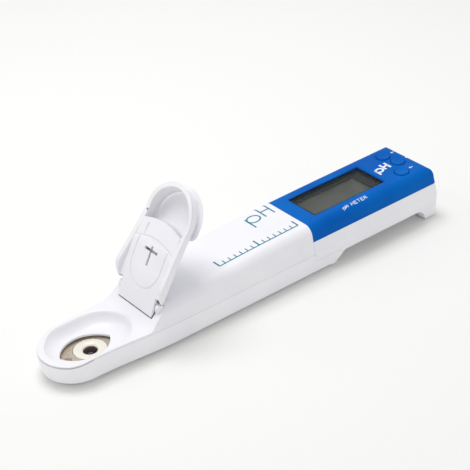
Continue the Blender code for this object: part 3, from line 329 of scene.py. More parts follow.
def prism(profile, start, end, axis):
    if axis == "y":
        verts = [(a, side, b) for side in (start, end) for a, b in profile]
    else:
        verts = [(a, b, side) for side in (start, end) for a, b in profile]
    n = len(profile)
    faces = [tuple(range(n)), tuple(range(n, 2 * n))]
    faces += [(k, (k + 1) % n, n + (k + 1) % n, n + k) for k in range(n)]
    return verts, faces


def block(x0, x1, y0, y1, z0, z1):
    return prism([(x0, y0), (x1, y0), (x1, y1), (x0, y1)], z0, z1, "z")


def circle(middle, radius, sides):
    return [(middle[0] + radius * cos(2 * pi * k / sides), middle[1] + radius * sin(2 * pi * k / sides))
            for k in range(sides)]


def stadium(x0, x1, radius, inset=0.0, steps=24):
    r = radius - inset
    points = [(x1 - radius + r * sin(pi * k / steps), -r * cos(pi * k / steps)) for k in range(steps + 1)]
    points += [(x0 + radius - r * sin(pi * k / steps), r * cos(pi * k / steps)) for k in range(steps + 1)]
    return points


def roundedBlock(x0, x1, y0, y1, radius, steps=6):
    points = []
    for cx, cy, base in ((x1 - radius, y1 - radius, 0), (x0 + radius, y1 - radius, 90),
                         (x0 + radius, y0 + radius, 180), (x1 - radius, y0 + radius, 270)):
        points += [(cx + radius * cos(radians(base + 90 * k / steps)),
                    cy + radius * sin(radians(base + 90 * k / steps)))
                   for k in range(steps + 1)]
    return points


def stack(profiles):
    n = len(profiles[0][0])
    verts = [(x, y, z) for points, z in profiles for x, y in points]
    faces = [tuple(range(n)), tuple(range(len(verts) - n, len(verts)))]
    for level in range(len(profiles) - 1):
        a, b = level * n, (level + 1) * n
        faces += [(a + k, a + (k + 1) % n, b + (k + 1) % n, b + k) for k in range(n)]
    return verts, faces


def leaf(x0, x1, half, steps=24):
    span = (x1 - x0) / 2
    radius = (span * span + half * half) / (2 * half)
    reach = atan(span / (radius - half))
    middle = (x0 + x1) / 2
    turns = [-reach + 2 * reach * k / steps for k in range(steps + 1)]
    upper = [(middle + radius * sin(t), radius * cos(t) - radius + half) for t in turns]
    return upper + [(x, -y) for x, y in reversed(upper[1:-1])]


def tube(path, radius, closed=False, sides=8):
    # a round rod along points, used for grooves and beads
    verts, faces = [], []
    n = len(path)
    for k, point in enumerate(path):
        before = Vector(path[(k - 1) % n] if closed or k else path[k])
        after = Vector(path[(k + 1) % n] if closed or k < n - 1 else path[k])
        along = (after - before).normalized()
        side = along.cross(Vector((0, 0, 1))).normalized()
        over = side.cross(along)
        turns = [2 * pi * j / sides for j in range(sides)]
        verts += [tuple(Vector(point) + radius * (cos(turn) * side + sin(turn) * over)) for turn in turns]
    for k in range(n if closed else n - 1):
        a, b = k * sides, (k + 1) % n * sides
        faces += [(a + j, a + (j + 1) % sides, b + (j + 1) % sides, b + j) for j in range(sides)]
    if not closed:
        faces += [tuple(range(sides)), tuple(range((n - 1) * sides, n * sides))]
    return verts, faces


# objects

def toFrame(point):
    return (point[0] - form["length"] / 2) * mm, point[1] * mm, point[2] * mm


def newSolid(name, solid, turn=None):
    verts, faces = solid
    mesh = bpy.data.meshes.new(name)
    mesh.from_pydata([toFrame(v) for v in verts], [], faces)
    work = bmesh.new()
    work.from_mesh(mesh)
    bmesh.ops.recalc_face_normals(work, faces=work.faces)
    work.to_mesh(mesh)
    work.free()
    if turn:
        mesh.transform(turn)
    item = bpy.data.objects.new(name, mesh)
    bpy.context.collection.objects.link(item)
    return item


def carve(piece, *steps):
    # steps are (operation, tool); the result is applied and the tools are thrown away
    for operation, tool in steps:
        step = piece.modifiers.new("carve", "BOOLEAN")
        step.operation, step.solver, step.object = operation, "EXACT", tool
    whole = bpy.data.meshes.new_from_object(piece.evaluated_get(bpy.context.evaluated_depsgraph_get()))
    piece.modifiers.clear()
    piece.data = whole
    for _, tool in steps:
        bpy.data.objects.remove(tool, do_unlink=True)


def cut(solid, turn=None):
    return "DIFFERENCE", newSolid("tool", solid, turn)


def join(solid, turn=None):
    return "UNION", newSolid("tool", solid, turn)


def keep(solid, turn=None):
    return "INTERSECT", newSolid("tool", solid, turn)


def finishPiece(piece, material, body, replaced=(), sharp=32):
    piece.data.materials.clear()
    piece.data.materials.append(material)
    piece.data.shade_smooth()
    piece.data.set_sharp_from_angle(angle=radians(sharp))
    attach(piece, body)
    if replaced:
        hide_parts(*replaced)


# sensor cartridge: its two shells meet in a groove round the tip and flush along the sides

tray = {"rimRise": 0.45, "start": 2.1, "end": 33.2, "halfWidth": 10.9, "floor": 5.7, "wall": 0.7,
        "grooveEnd": 12.6, "groove": 0.30, "wellStart": 6.5, "wellEnd": 26.0, "wellHalf": 6.5,
        "holderTop": 4.1,
        "slope": [(-0.6, 0.0), (-0.35, 0.012), (-0.1, 0.045), (0.12, 0.11), (0.35, 0.21), (0.62, 0.33),
                  (1.0, 0.47), (1.5, 0.61), (2.2, 0.745), (3.1, 0.86), (4.2, 0.935), (5.6, 0.975),
                  (7.4, 0.995), (8.6, 1.0)]}
hinge = {"pivotX": 39.8, "pivotZ": 15.3, "knuckle": 1.25, "heel": 4.05, "lipRise": 0.15, "plateHalf": 9.5,
         "earThickness": 1.6, "gap": 0.3, "shoulderX": 34.4, "shoulderSlope": 0.9, "openAngle": 130.0}


def seamPoints(side, end):
    # side is 1 above the seam and -1 below it
    reach = [k * 0.5 for k in range(-4, 26)] + [tray["grooveEnd"] + 0.6]
    points = []
    for x in reach:
        gap = tray["groove"] * (1 - ease(x, tray["grooveEnd"] - 0.9, tray["grooveEnd"]))
        points.append((x, creaseHeight(x) + side * (gap / 2 + form["hairline"] / 2)))
    return points + [(end, form["crease"] + side * form["hairline"] / 2)]


def tongueEnd(offset):
    top, start, lower = form["tongueTop"] + offset, form["tongueEnd"] - 2.0, form["tongueEnd"] + offset

    def kink(x):
        return form["kinkSlope"] * (x - form["kinkStart"])
    return [(start + offset, top), (lower, top - 1.0), (lower, kink(lower)),
            (form["kinkStart"] - 2.5, kink(form["kinkStart"] - 2.5))]


def shoulderHeight(x):
    return form["crease"] + tray["rimRise"] + hinge["shoulderSlope"] * (x - hinge["shoulderX"])


def bowlLevels(grow):
    rim = form["crease"] + tray["rimRise"]
    depth = rim - tray["floor"]
    levels = [(stadium(tray["start"], tray["end"], tray["halfWidth"], inset - grow),
               rim - depth * share - grow)
              for inset, share in tray["slope"]]
    return levels[::-1]


def makeCartridgeTop():
    rear = form["cartridgeEnd"] - form["hairline"] / 2
    lipX = hinge["pivotX"] + hinge["knuckle"] + 0.55
    rim = form["crease"] + tray["rimRise"]
    profile = seamPoints(1, rear)
    profile += [(rear, 30), (lipX, 30), (lipX, hinge["pivotZ"] + 0.55),
                (lipX - 0.15, hinge["pivotZ"] + 0.25),
                (hinge["pivotX"] - 0.6, shoulderHeight(hinge["pivotX"] - 0.6))]
    profile += [(35.6, shoulderHeight(35.6)), (35.0, rim + 0.62), (34.4, rim + 0.28), (33.8, rim + 0.08),
                (33.1, rim)]
    profile += [(form["tipRadius"] + 0.7, rim)]
    profile += [(k * 0.5, creaseHeight(k * 0.5) + tray["rimRise"]) for k in range(25, -5, -1)]
    shell = newSolid("cartridgeTop", bodyForm())
    steps = [keep(prism(profile, -30, 30, "y"))]

    pan = bowlLevels(tray["wall"])[:-5]
    pan.append((stadium(tray["start"], tray["end"], tray["halfWidth"], -tray["wall"]),
                form["crease"] + 0.35))
    steps.append(join(stack(pan)))
    tipClear = [(k * 0.5, creaseHeight(k * 0.5) + tray["rimRise"]) for k in range(-4, 26)]
    tipClear += [(form["tipRadius"] + 0.7, rim), (form["tipRadius"] + 0.7, 30), (-2, 30)]
    steps.append(cut(prism(tipClear, -30, 30, "y")))
    for side in (-1, 1):
        y0, y1 = sorted((side * (hinge["plateHalf"] + hinge["gap"]),
                         side * (hinge["plateHalf"] + hinge["gap"] + hinge["earThickness"])))
        ear = [p for p in circle((hinge["pivotX"], hinge["pivotZ"]), hinge["knuckle"],
                                 32) if p[1] >= hinge["pivotZ"] - 0.01]
        ear += [(hinge["pivotX"] - hinge["knuckle"], hinge["pivotZ"] - 2.6),
                (hinge["pivotX"] + hinge["knuckle"] + 1.6, hinge["pivotZ"] - 2.6),
                (hinge["pivotX"] + hinge["knuckle"] + 1.6, hinge["pivotZ"] - 0.4)]
        steps.append(join(prism(ear, y0, y1, "y")))
    bowl = bowlLevels(0.0)
    bowl.append((stadium(tray["start"], tray["end"], tray["halfWidth"], -0.75), rim + 4))
    steps.append(cut(stack(bowl)))
    well = prism(leaf(tray["wellStart"], tray["wellEnd"], tray["wellHalf"]), tray["holderTop"] - 1,
                 tray["floor"] + 3, "z")
    steps.append(cut(well))
    sweep = hinge["heel"] + 0.35
    pocket = [(hinge["pivotX"] + sweep * cos(-pi * k / 32),
               hinge["pivotZ"] + sweep * sin(-pi * k / 32)) for k in range(33)]
    pocket += [(hinge["pivotX"] - sweep, hinge["pivotZ"] + 3), (lipX, hinge["pivotZ"] + 3),
               (lipX, hinge["pivotZ"] + hinge["lipRise"]),
               (hinge["pivotX"] + sweep, hinge["pivotZ"] + hinge["lipRise"])]
    reach = hinge["plateHalf"] + hinge["gap"]
    steps.append(cut(prism(pocket, -reach, reach, "y")))
    carve(shell, *steps)
    finishPiece(shell, finish["white_abs"], "cartridge", ("cartridge_upper_shell",))


def makeCartridgeBase():
    rear = form["cartridgeEnd"] - form["hairline"] / 2
    profile = seamPoints(-1, rear) + [(rear, form["tongueTop"] - form["hairline"])]
    profile += tongueEnd(-form["hairline"])
    profile.append((-2, -2))
    shell = newSolid("cartridgeBase", bodyForm())
    steps = [keep(prism(profile, -30, 30, "y"))]
    wall = 1.2
    end = 98.0 + 11.4 + wall + 1.2
    hollow = ringSolid([(lambda x: wall + form["undercutIn"] * 0.8, lambda x: wall),
                        (lambda x: wall + form["lowerDraft"], lambda x: wall + form["undercutHeight"]),
                        (lambda x: wall, creaseHeight), (lambda x: wall, lambda x: form["crease"] + 3)],
                       end)
    steps.append(cut(hollow))
    steps.append(cut(block(97.6, 109.9, -6.4, 6.4, -1, 4.8)))
    carve(shell, *steps)
    finishPiece(shell, finish["white_abs"], "cartridge", ("cartridge_lower_shell",))


makeCartridgeTop()
makeCartridgeBase()
print("cartridge shells made")


# sensor: a resin holder and ring round the glass, all under the tray's leaf-shaped well

sensor = {"x": 18.0, "ringRadius": 5.8, "holderBottom": 2.1, "holderTop": 4.1,
          "junctionX": 9.2, "junctionRadius": 1.1, "gap": 0.12, "sides": 72}


def makeSensor():
    x, low, high = sensor["x"], sensor["holderBottom"], sensor["holderTop"]
    holder = newSolid("sensorHolder", stack([(stadium(4.6, 30, 8.5), low), (stadium(4.6, 30, 8.5), high)]))
    eye = stack([(circle((x, 0), sensor["ringRadius"] + sensor["gap"], sensor["sides"]),
                  z) for z in (low - 1, high + 1)])
    port = stack([(circle((sensor["junctionX"], 0), sensor["junctionRadius"] + sensor["gap"], 40), z)
                  for z in (low - 1, high + 1)])
    carve(holder, cut(eye), cut(port))
    finishPiece(holder, holderResin, "cartridge", ("sensor_holder",))

    turned = [(5.8, 0.2), (5.8, 1.95), (5.72, 2.08), (5.55, 2.16), (5.2, 2.22), (4.4, 2.24), (3.7, 2.18),
              (3.1, 1.98), (2.75, 1.78), (2.55, 1.6)]
    ring = newSolid("sensorRing", stack([(circle((x, 0), r, sensor["sides"]), low + z) for r,
                                         z in turned[:6]]))
    inner = [(2.46, -1.0), (2.46, 1.5), (2.6, 1.68), (2.8, 1.84), (3.2, 2.02), (3.7, 2.14), (4.2, 2.2),
             (4.5, 3.0)]
    hole = stack([(circle((x, 0), r, sensor["sides"]), low + z) for r, z in inner])
    carve(ring, cut(hole))
    finishPiece(ring, finish["cream_resin"], "cartridge", ("sensor_ring",))

    dome = [(2.4, 0.2), (2.4, 1.3), (2.36, 1.46), (2.2, 1.62), (1.9, 1.74), (1.45, 1.84), (0.95, 1.9),
            (0.4, 1.93)]
    glass = newSolid("glassElectrode", stack([(circle((x, 0), r, sensor["sides"]), low + z) for r,
                                              z in dome]))
    finishPiece(glass, finish["sensor_glass"], "cartridge", ("glass_electrode",), 60)

    plug = [(1.1, 0.1), (1.1, 2.0), (1.02, 2.08), (0.85, 2.11)]
    junction = newSolid("referenceJunction",
                        stack([(circle((sensor["junctionX"], 0), r, 40), low + z) for r, z in plug]))
    finishPiece(junction, finish["porous_junction"], "cartridge",
                ("reference_junction",))


makeSensor()
print("sensor made")


# cover: drawn closed over the tray, then turned open about its pin

cover = {"rest": 0.35, "band": 2.3, "ledge": 0.35, "skin": 1.0, "back": 39.6, "notch": 38.05,
         "windowEnd": 14.2, "endArc": 28.0, "ridgeX": 20.5, "slotX": 24.5, "plate": 0.8, "wideHalf": 13.0,
         "grooveHalf": 7.9, "groove": 0.34, "capEnd": 15.6, "capGap": 0.3,
         # the cap's outside and its hollow, as (inset, height above the shell) from the lip to the top
         "capOutside": [(0.3, 0.28), (0.12, 0.33), (0.08, 0.42), (0.2, 0.5), (0.65, 0.9), (1.5, 1.15),
                        (2.8, 1.3)],
         "capInside": [(0.4, 0.1), (0.9, 0.4), (1.9, 0.6), (3.4, 0.7)],
         "capInsideEnd": 18.5, "capFit": -0.24, "capTaper": 0.45,      # it thins by this share
         "armHalf": 4.2, "stemHalf": 0.5, "headLow": 12.3, "headHalf": 3.2,
         "ribs": 3, "ribPitch": 1.5, "ribWidth": 0.6, "ribHalf": 5.5}


def openTurn():
    pivot = Vector(toFrame((hinge["pivotX"], 0.0, hinge["pivotZ"])))
    return Matrix.Translation(pivot) @ Matrix.Rotation(radians(hinge["openAngle"]), 4,
                                                       "Y") @ Matrix.Translation(-pivot)


def endArc(y):
    return y * y / (2 * cover["endArc"])


def arcPlaces(half, steps=24):
    return [half * (2 * k / steps - 1) for k in range(steps + 1)]


def plateLine():
    # underside of the inner plate when closed, from its ridge to the heel at the hinge
    turn = radians(-7.9)
    heel = (hinge["pivotX"] + hinge["heel"] * cos(turn), hinge["pivotZ"] + hinge["heel"] * sin(turn))
    return [(cover["ridgeX"], 9.95), (cover["slotX"], 10.35), (29.7, 11.3), (31.5, 11.5), (33.0, 11.75),
            (34.8, 12.12),
            (36.5, 12.65), heel]


def plateHeight(x):
    line = plateLine()
    for (x0, z0), (x1, z1) in zip(line, line[1:]):
        if x <= x1:
            return z0 + (z1 - z0) * (x - x0) / (x1 - x0)
    return line[-1][1]


def insideBand():
    edge = cover["band"] - 0.22
    return ringSolid([fixed(edge, -1.0), fixed(edge, 30.0)], 70.0)


def makeCoverShell(turn):
    rim = form["crease"] + tray["rimRise"] + cover["rest"]
    back = cover["back"]
    profile = [(k * 0.5, creaseHeight(k * 0.5) + tray["rimRise"] + cover["rest"]) for k in range(-4, 26)]
    profile += [(32.6, rim), (33.6, rim + 0.1), (34.2, rim + 0.3), (34.8, rim + 0.62),
                (35.4, shoulderHeight(35.4) + 0.32), (back - 0.5, shoulderHeight(back - 0.5) + 0.32),
                (back, shoulderHeight(back) + 0.5), (back, hinge["pivotZ"] + 0.15), (back, 30), (-2, 30)]
    shell = newSolid("coverShell", bodyForm(), turn)
    steps = [keep(prism(profile, -30, 30, "y"), turn)]
    band = cover["band"]
    rings = [fixed(band - 0.6, 0.0), fixed(band - 0.3, rim - 0.1), fixed(band, rim + 0.35),
             (lambda x: band + 0.15, lambda x: topHeight(x) - cover["skin"])]
    steps.append(cut(ringSolid(rings, 70.0), turn))
    half = [p for p in outline(lambda x: band + cover["ledge"], 70.0) if p[0] <= cover["windowEnd"] - 0.2]
    side = half[-1][1]
    window = [(x, -y) for x, y in reversed(half[1:])] + half
    window += [(cover["windowEnd"] + endArc(y), y) for y in reversed(arcPlaces(side))]
    steps.append(cut(prism(window, 0, 30, "z"), turn))
    steps.append(cut(block(23.5, 31.5, -0.8, 0.8, 0, 30), turn))
    steps.append(cut(block(cover["notch"], 50, -30, 30, 0, 30), turn))
    snap = circle((13.4, 10.55), 0.36, 20)
    steps.append(cut(prism(snap, rim - 0.5, rim + 0.25, "z"), turn))
    carve(shell, *steps)
    finishPiece(shell, finish["white_abs"], "cover", ("cover_shell",))


def makeCoverPlate(turn):
    line = plateLine()
    px, pz, knuckle = hinge["pivotX"], hinge["pivotZ"], hinge["knuckle"]
    heelX, heelZ = line[-1]
    upper = [(heelX - 0.1, heelZ + 0.4), (px + 1.5, pz - 0.15)]
    upper += [(px + knuckle * cos(pi * k / 16), pz + knuckle * sin(pi * k / 16)) for k in range(17)]
    upper += [(px - knuckle - 0.05, pz - 1.15), (36.2, 13.35)]
    upper += [(x, z + cover["plate"]) for x, z in reversed(line[:-2])]
    plate = newSolid("coverPlate", prism(line + upper, -hinge["plateHalf"], hinge["plateHalf"], "y"), turn)
    wideLine = [(x, z) for x, z in line if x < 36] + [(37.3, plateHeight(37.3))]
    wide = wideLine + [(x, z + cover["plate"]) for x, z in reversed(wideLine)]
    wideHalf = cover["wideHalf"]
    steps = [join(prism(wide, -wideHalf, wideHalf, "y"), turn),
             keep(insideBand(), turn)]
    plan = [(cover["ridgeX"] + endArc(y), y) for y in arcPlaces(wideHalf + 1)]
    plan += [(cover["ridgeX"] - 5, wideHalf + 1), (cover["ridgeX"] - 5, -wideHalf - 1)]
    steps.append(cut(prism(plan, 0, 30, "z"), turn))
    # the ridge is a bevelled edge just behind the arc
    bevel = []
    for y in arcPlaces(wideHalf + 1):
        x = cover["ridgeX"] + endArc(y)
        bevel.append([(x - 0.5, y, 9.0), (x - 0.5, y, 10.35), (x + 0.95, y, plateHeight(x + 0.95) - 0.02),
                      (x + 0.95, y, 9.0)])
    verts = [p for quad in bevel for p in quad]
    faces = [(4 * k + a, 4 * k + (a + 1) % 4, 4 * k + 4 + (a + 1) % 4,
              4 * k + 4 + a) for k in range(len(bevel) - 1)
             for a in range(4)]
    faces += [(0, 1, 2, 3), tuple(len(verts) - 4 + a for a in range(4))]
    steps.append(cut((verts, faces), turn))
    half = cover["grooveHalf"]
    path = [(22.2 + 0.8 * k, half) for k in range(9)]
    path += [(29.4 + half * sin(pi * k / 20), half * cos(pi * k / 20)) for k in range(1, 20)]
    path += [(22.2 + 0.8 * k, -half) for k in range(8, -1, -1)]
    path += [(22.2 - 0.9 * sin(pi * k / 16), -half * cos(pi * k / 16)) for k in range(1, 16)]
    groove = tube([(x, y, plateHeight(x) - 0.12) for x, y in path], cover["groove"], closed=True)
    steps.append(cut(groove, turn))
    for tool in (block(24.05, 24.95, -3.5, 3.5, 0, 13), block(23.0, 29.7, -0.45, 0.45, 0, 13)):
        steps.append(cut(tool, turn))
    bore = circle((px, pz), 0.7, 24)
    steps.append(cut(prism(bore, -30, 30, "y"), turn))
    carve(plate, *steps)
    finishPiece(plate, finish["white_abs"], "cover", ("cover_inner_plate",), 25)


def makeCoverTongue(turn):
    start, end = cover["windowEnd"], cover["ridgeX"]
    line = [(start - 1, 9.85), (end + 3, 10.4)]
    profile = line + [(x, z + 0.6) for x, z in reversed(line)]
    tongue = newSolid("coverTongue", prism(profile, -20, 20, "y"), turn)
    arc = [(start + endArc(y), y) for y in arcPlaces(cover["wideHalf"])]
    arc += [(end - 0.06 + endArc(y), y) for y in reversed(arcPlaces(cover["wideHalf"]))]
    rail = roundedBlock(16.9, 21.0, 6.2, 6.8, 0.25)
    lip = [(start + 0.55 + endArc(y), y, 9.62) for y in arcPlaces(cover["wideHalf"] - 0.4)]
    carve(tongue, keep(prism(arc, 0, 30, "z"), turn),
          keep(insideBand(), turn),
          cut(prism(rail, 9.0, 10.32, "z"), turn),
          cut(tube([(x - 0.55, y, z + 0.05) for x, y, z in lip], 0.3), turn))
    finishPiece(tongue, finish["white_abs"], "cover", ("cover_tongue",), 25)


def makeSlideCap(turn):
    # a thin domed cap, hollow below, with an arm to the stem and head that hold it in the slot
    end, gap, slotX = cover["capEnd"], cover["capGap"], cover["slotX"]

    def taper(x):
        return 1 - cover["capTaper"] * ease(x, 9.0, end)

    def level(inset, rise):
        return lambda x: inset, lambda x: topHeight(x) + rise * taper(x)
    cap = newSolid("slideCap", ringSolid([level(*place) for place in cover["capOutside"]], end), turn)
    fit = cover["capFit"]
    shell = [fixed(fit, 0.0), fixed(fit, form["crease"] + 0.6)]
    shell += [edgeRing(radians(15 * k), fit) for k in range(7)]
    inside = [fixed(cover["band"] + 0.4, 0.0)]
    inside += [level(cover["band"] + inset, rise) for inset, rise in cover["capInside"]]
    x0, x1 = end - 1.6, slotX + 1.6
    top0, top1 = topHeight(end - 2) + gap, topHeight(x1) + gap
    arm = prism([(x0, top0 + 0.16), (x1, top1 + 0.06), (x1, top1 + 0.5), (x0, top0 + 0.5)],
                -cover["armHalf"], cover["armHalf"], "y")
    low, left, right = cover["headLow"], slotX - cover["stemHalf"], slotX + cover["stemHalf"]
    stem = block(left, right, -0.4, 0.4, low + 0.3, topHeight(slotX) + gap + 0.4)
    head = prism([(left - 0.1, low), (right + 0.1, low + 0.15), (right + 0.1, low + 0.6),
                  (left - 0.1, low + 0.45)], -cover["headHalf"], cover["headHalf"], "y")
    steps = [cut(ringSolid(shell, 60.0), turn),
             cut(ringSolid(inside, cover["capInsideEnd"]), turn)]
    steps += [join(solid, turn) for solid in (arm, stem, head)]
    for k in range(cover["ribs"]):
        x = end - 3.3 - cover["ribPitch"] * k
        rib = roundedBlock(x, x + cover["ribWidth"], -cover["ribHalf"], cover["ribHalf"], 0.28)
        high = topHeight(x) + cover["capOutside"][-1][1] * taper(x)
        steps.append(join(prism(rib, high - 0.25, high + 0.3, "z"), turn))
    carve(cap, *steps)
    finishPiece(cap, finish["white_abs"], "slide_cap", ("slide_cap",))


coverTurn = openTurn()
makeCoverShell(coverTurn)
makeCoverPlate(coverTurn)
makeCoverTongue(coverTurn)
makeSlideCap(coverTurn)
print("cover made")


# meter: the blue panel over the white case, with the battery cover and its foot below

meter = {"wall": 1.5, "gap": 0.3, "displayStart": 109.7, "displayEnd": 142.8, "displayHalf": 7.4,
         "deckTop": 12.2,
         "deckBottom": 11.5, "bayFloor": 7.4, "cellRadius": 10.4, "plateTop": 6.5, "plateHalf": 12.4,
         "rail": 0.9,
         "bossRadius": 1.7, "screwRadius": 0.7, "headRadius": 1.4, "screwInset": 4.6,
         "edgeRoom": 3.7,       # the panel's hollow stops this far short of the rounded rear edge
         # the last three place the black walls in the display window, which are painted shade
         "shadeWallLow": 17.82, "shadeWallThickness": 0.55, "shadeWallGap": 0.05}
keys = {"radius": 2.6, "lip": 0.5, "places": {"left": (-9.4, 1), "middle": (-8.0, 0), "right": (-12.2, -1)},
        "proud": 0.35, "dish": 0.16}


def section(x, shrink, low):
    side = [(halfWidth(x) - shrink, low), (halfWidth(x) - shrink, max(creaseHeight(x), low + 0.4))]
    for k in range(7):
        inset, height = edgeRing(radians(15 * k), shrink)
        side.append((halfWidth(x) - inset(x), height(x)))
    return side + [(-y, z) for y, z in reversed(side)]


def tunnel(x0, x1, shrink, low, steps=8):
    levels = [(x0 + (x1 - x0) * k / steps) for k in range(steps + 1)]
    rings = [section(x, shrink, low) for x in levels]
    n = len(rings[0])
    verts = [(x, y, z) for x, ring in zip(levels, rings) for y, z in ring]
    faces = [(a * n + k, a * n + (k + 1) % n, (a + 1) * n + (k + 1) % n, (a + 1) * n + k)
             for a in range(steps) for k in range(n)]
    faces += [tuple(range(n)), tuple(range(len(verts) - n, len(verts)))]
    return verts, faces


def screwPlaces():
    rear, front = form["length"] - meter["screwInset"], form["cartridgeEnd"] + 3.4
    y = form["halfWidth"] - meter["screwInset"]
    return [(x, side * y) for x in (front, rear) for side in (1, -1)]


def cellBay():
    end = form["length"] - meter["wall"] - 1.9
    return end - 4 * meter["cellRadius"], end


def keyPlaces():
    pitch = 2 * (keys["radius"] + keys["lip"]) + meter["gap"]
    return {name: (form["length"] + dx, pitch * row - 0.4) for name, (dx, row) in keys["places"].items()}


def makeBluePanel():
    front = form["cartridgeEnd"] + form["hairline"] / 2
    low = form["splitHeight"] + form["hairline"] / 2
    panel = newSolid("bluePanel", bodyForm())
    steps = [keep(block(front, 170, -30, 30, low, 40)),
             cut(tunnel(front + 1.2, form["length"] - meter["edgeRoom"], meter["wall"],
                                                          form["splitHeight"] - 3))]
    x0, x1, half = meter["displayStart"], meter["displayEnd"], meter["displayHalf"]
    surface = topHeight((x0 + x1) / 2)
    mouth = stack([(roundedBlock(x0 - g, x1 + g, -half - g, half + g, 0.35 + g), z)
                   for g, z in ((0.0, 16.0), (0.0, surface - 0.45), (0.04, surface - 0.25),
                                (0.14, surface - 0.1),
                                (0.3, surface + 0.02), (0.9, surface + 0.6))])
    steps.append(cut(mouth))
    for x, y in keyPlaces().values():
        top = topHeight(x)
        hole = stack([(circle((x, y), keys["radius"] + 0.16 + g, 48), z)
                      for g, z in ((0, 16.0), (0, top - 0.22), (0.1, top - 0.08), (0.3, top + 0.03),
                                   (0.8, top + 0.6))])
        steps.append(cut(hole))
    carve(panel, *steps)
    finishPiece(panel, finish["blue_abs"], "meter", ("front_panel",))


def makeShadeWalls():
    # walls coloured black in the display window: painted shade for the dark inside of the deep window
    gap, wall = meter["shadeWallGap"], meter["shadeWallThickness"]
    x0, x1, half = meter["displayStart"] - gap, meter["displayEnd"] + gap, meter["displayHalf"] + gap
    walls = newSolid("windowShadeWalls", prism(roundedBlock(x0, x1, -half, half, 0.4), meter["shadeWallLow"],
                                          topHeight(x0) - 0.2, "z"))
    hole = roundedBlock(x0 + wall, x1 - wall, wall - half, half - wall, 0.3)
    carve(walls, cut(prism(hole, 0, 40, "z")))
    finishPiece(walls, finish["black_plastic"], "meter")


def makeKeys():
    for name, (x, y) in keyPlaces().items():
        top = topHeight(x) + keys["proud"]
        r = keys["radius"]
        levels = [(1.0, 14.9), (1.0, top - 3.4), (r + 0.35, top - 3.4), (r + 0.35, top - 2.9),
                  (r, top - 2.9), (r, top - 0.42),
                  (r - 0.06, top - 0.24), (r - 0.2, top - 0.1), (r - 0.42, top - 0.02), (r - 0.62, top),
                  (r - 0.95, top - 0.04), (r - 1.4, top - keys["dish"] * 0.75),
                  (r - 2.0, top - keys["dish"])]
        key = newSolid(name + "Key", stack([(circle((x, y), radius, 48), z) for radius, z in levels]))
        finishPiece(key, finish["blue_abs"], "button_" + name, ("button_" + name,), 50)


def makeCaseBase():
    hair = form["hairline"]
    front = form["cartridgeEnd"] + hair / 2
    archX = form["kinkStart"] + form["archHeight"] / form["kinkSlope"]
    profile = [(front, form["tongueTop"])] + tongueEnd(0.0)[:3]
    profile += [(archX, form["archHeight"]), (170, form["archHeight"]),
                (170, form["splitHeight"] - hair / 2),
                (front, form["splitHeight"] - hair / 2)]
    case = newSolid("caseBase", bodyForm())
    start, end = cellBay()
    reach, rail = meter["plateHalf"] + meter["gap"], meter["rail"]
    ledge = form["archHeight"] + rail / 2
    mouth = 8.3
    cuts = [tunnel(start - 1.0, form["length"] - meter["wall"], meter["wall"], meter["deckTop"]),
            tunnel(front + 1.2, start - 0.9, meter["wall"], meter["bayFloor"]),
            block(start - 0.5, 170, -reach, reach, ledge, meter["plateTop"] + meter["gap"]),
            block(start - 0.5, 170, rail - reach, reach - rail, 0, ledge + 0.1),
            prism(stadium(start, end, meter["cellRadius"]), meter["plateTop"] - 1, meter["deckBottom"],
                  "z"),
            block(front - 3, front + 3, -mouth, mouth, meter["bayFloor"], 12.1)]
    steps = [keep(prism(profile, -30, 30, "y"))]
    steps += [cut(solid) for solid in cuts]
    for x, y in screwPlaces():
        low = meter["plateTop"] + meter["gap"] if x > 130 else form["tongueTop"] + meter["gap"]
        steps.append(join(prism(circle((x, y), meter["bossRadius"] + 0.3, 32), low,
                                                          meter["deckTop"], "z")))
    for x, y in screwPlaces():
        for radius, top in ((meter["screwRadius"] + 0.3, meter["deckTop"] + 1),
                            (meter["headRadius"] + 0.3, 8.4)):
            steps.append(cut(prism(circle((x, y), radius, 32), 0, top, "z")))
    carve(case, *steps)
    finishPiece(case, finish["white_abs"], "meter", ("lower_case",))


def makeBatteryLid():
    start = cellBay()[0] - 0.2
    footX = form["length"] - form["footLength"]
    top = form["archHeight"] - form["hairline"]
    bend = 4.2
    turns = [radians(8 * k) for k in range(11)]
    arch = [(footX - bend + bend * sin(t), top - bend + bend * cos(t)) for t in turns]
    foot = arch + [(footX + 0.75, 0.45), (footX + 1.1, 0.12), (footX + 1.7, 0.0), (footX + 1.7, -1),
                   (170, -1), (170, top)]
    rings = [fixed(*place) for place in ((2.1, 0.0), (1.45, 0.14), (0.95, 0.45), (0.66, 0.9), (0.52, 1.5),
                                         (0.45, 2.4), (0.34, 5.0), (0.1, 8.0))]
    lid = newSolid("batteryLid", ringSolid(rings, form["length"]))
    half, rail, gap = meter["plateHalf"], meter["rail"], meter["gap"]
    ledge = form["archHeight"] + rail / 2 + gap
    step = rail + gap
    length = form["length"]
    core = [(start, form["archHeight"]), (footX, form["archHeight"]), (footX, form["archHeight"] - 1),
            (length - 0.4, form["archHeight"] - 1), (length - 0.4, meter["plateTop"]),
            (start, meter["plateTop"])]
    rails = [(start, ledge), (length - 0.4, ledge), (length - 0.4, meter["plateTop"]),
             (start, meter["plateTop"])]
    steps = [keep(prism(foot, -30, 30, "y")),
             join(prism(core, step - half, half - step, "y")),
             join(prism(rails, -half, half, "y"))]
    x0 = cellBay()[0] + meter["cellRadius"] - 2.3
    x1 = cellBay()[1] - meter["cellRadius"] + 2.3
    steps.append(cut(block(x0, x1, -2.3, 2.3, meter["plateTop"] - 0.55, 8)))
    for k in range(6):
        x = footX - 12.0 + 1.2 * k      # grip lines on the underside, pushed with a thumb
        steps.append(cut(block(x, x + 0.5, -6, 6, 4, form["archHeight"] + 0.3)))
    carve(lid, *steps)
    finishPiece(lid, finish["white_abs"], "battery_cover", ("battery_cover",))


makeBluePanel()
# black walls in the display window: painted shade
makeShadeWalls()
makeKeys()
makeCaseBase()
makeBatteryLid()
print("meter shells and keys made")


# prints: flat strokes of ink laid on the rounded surface

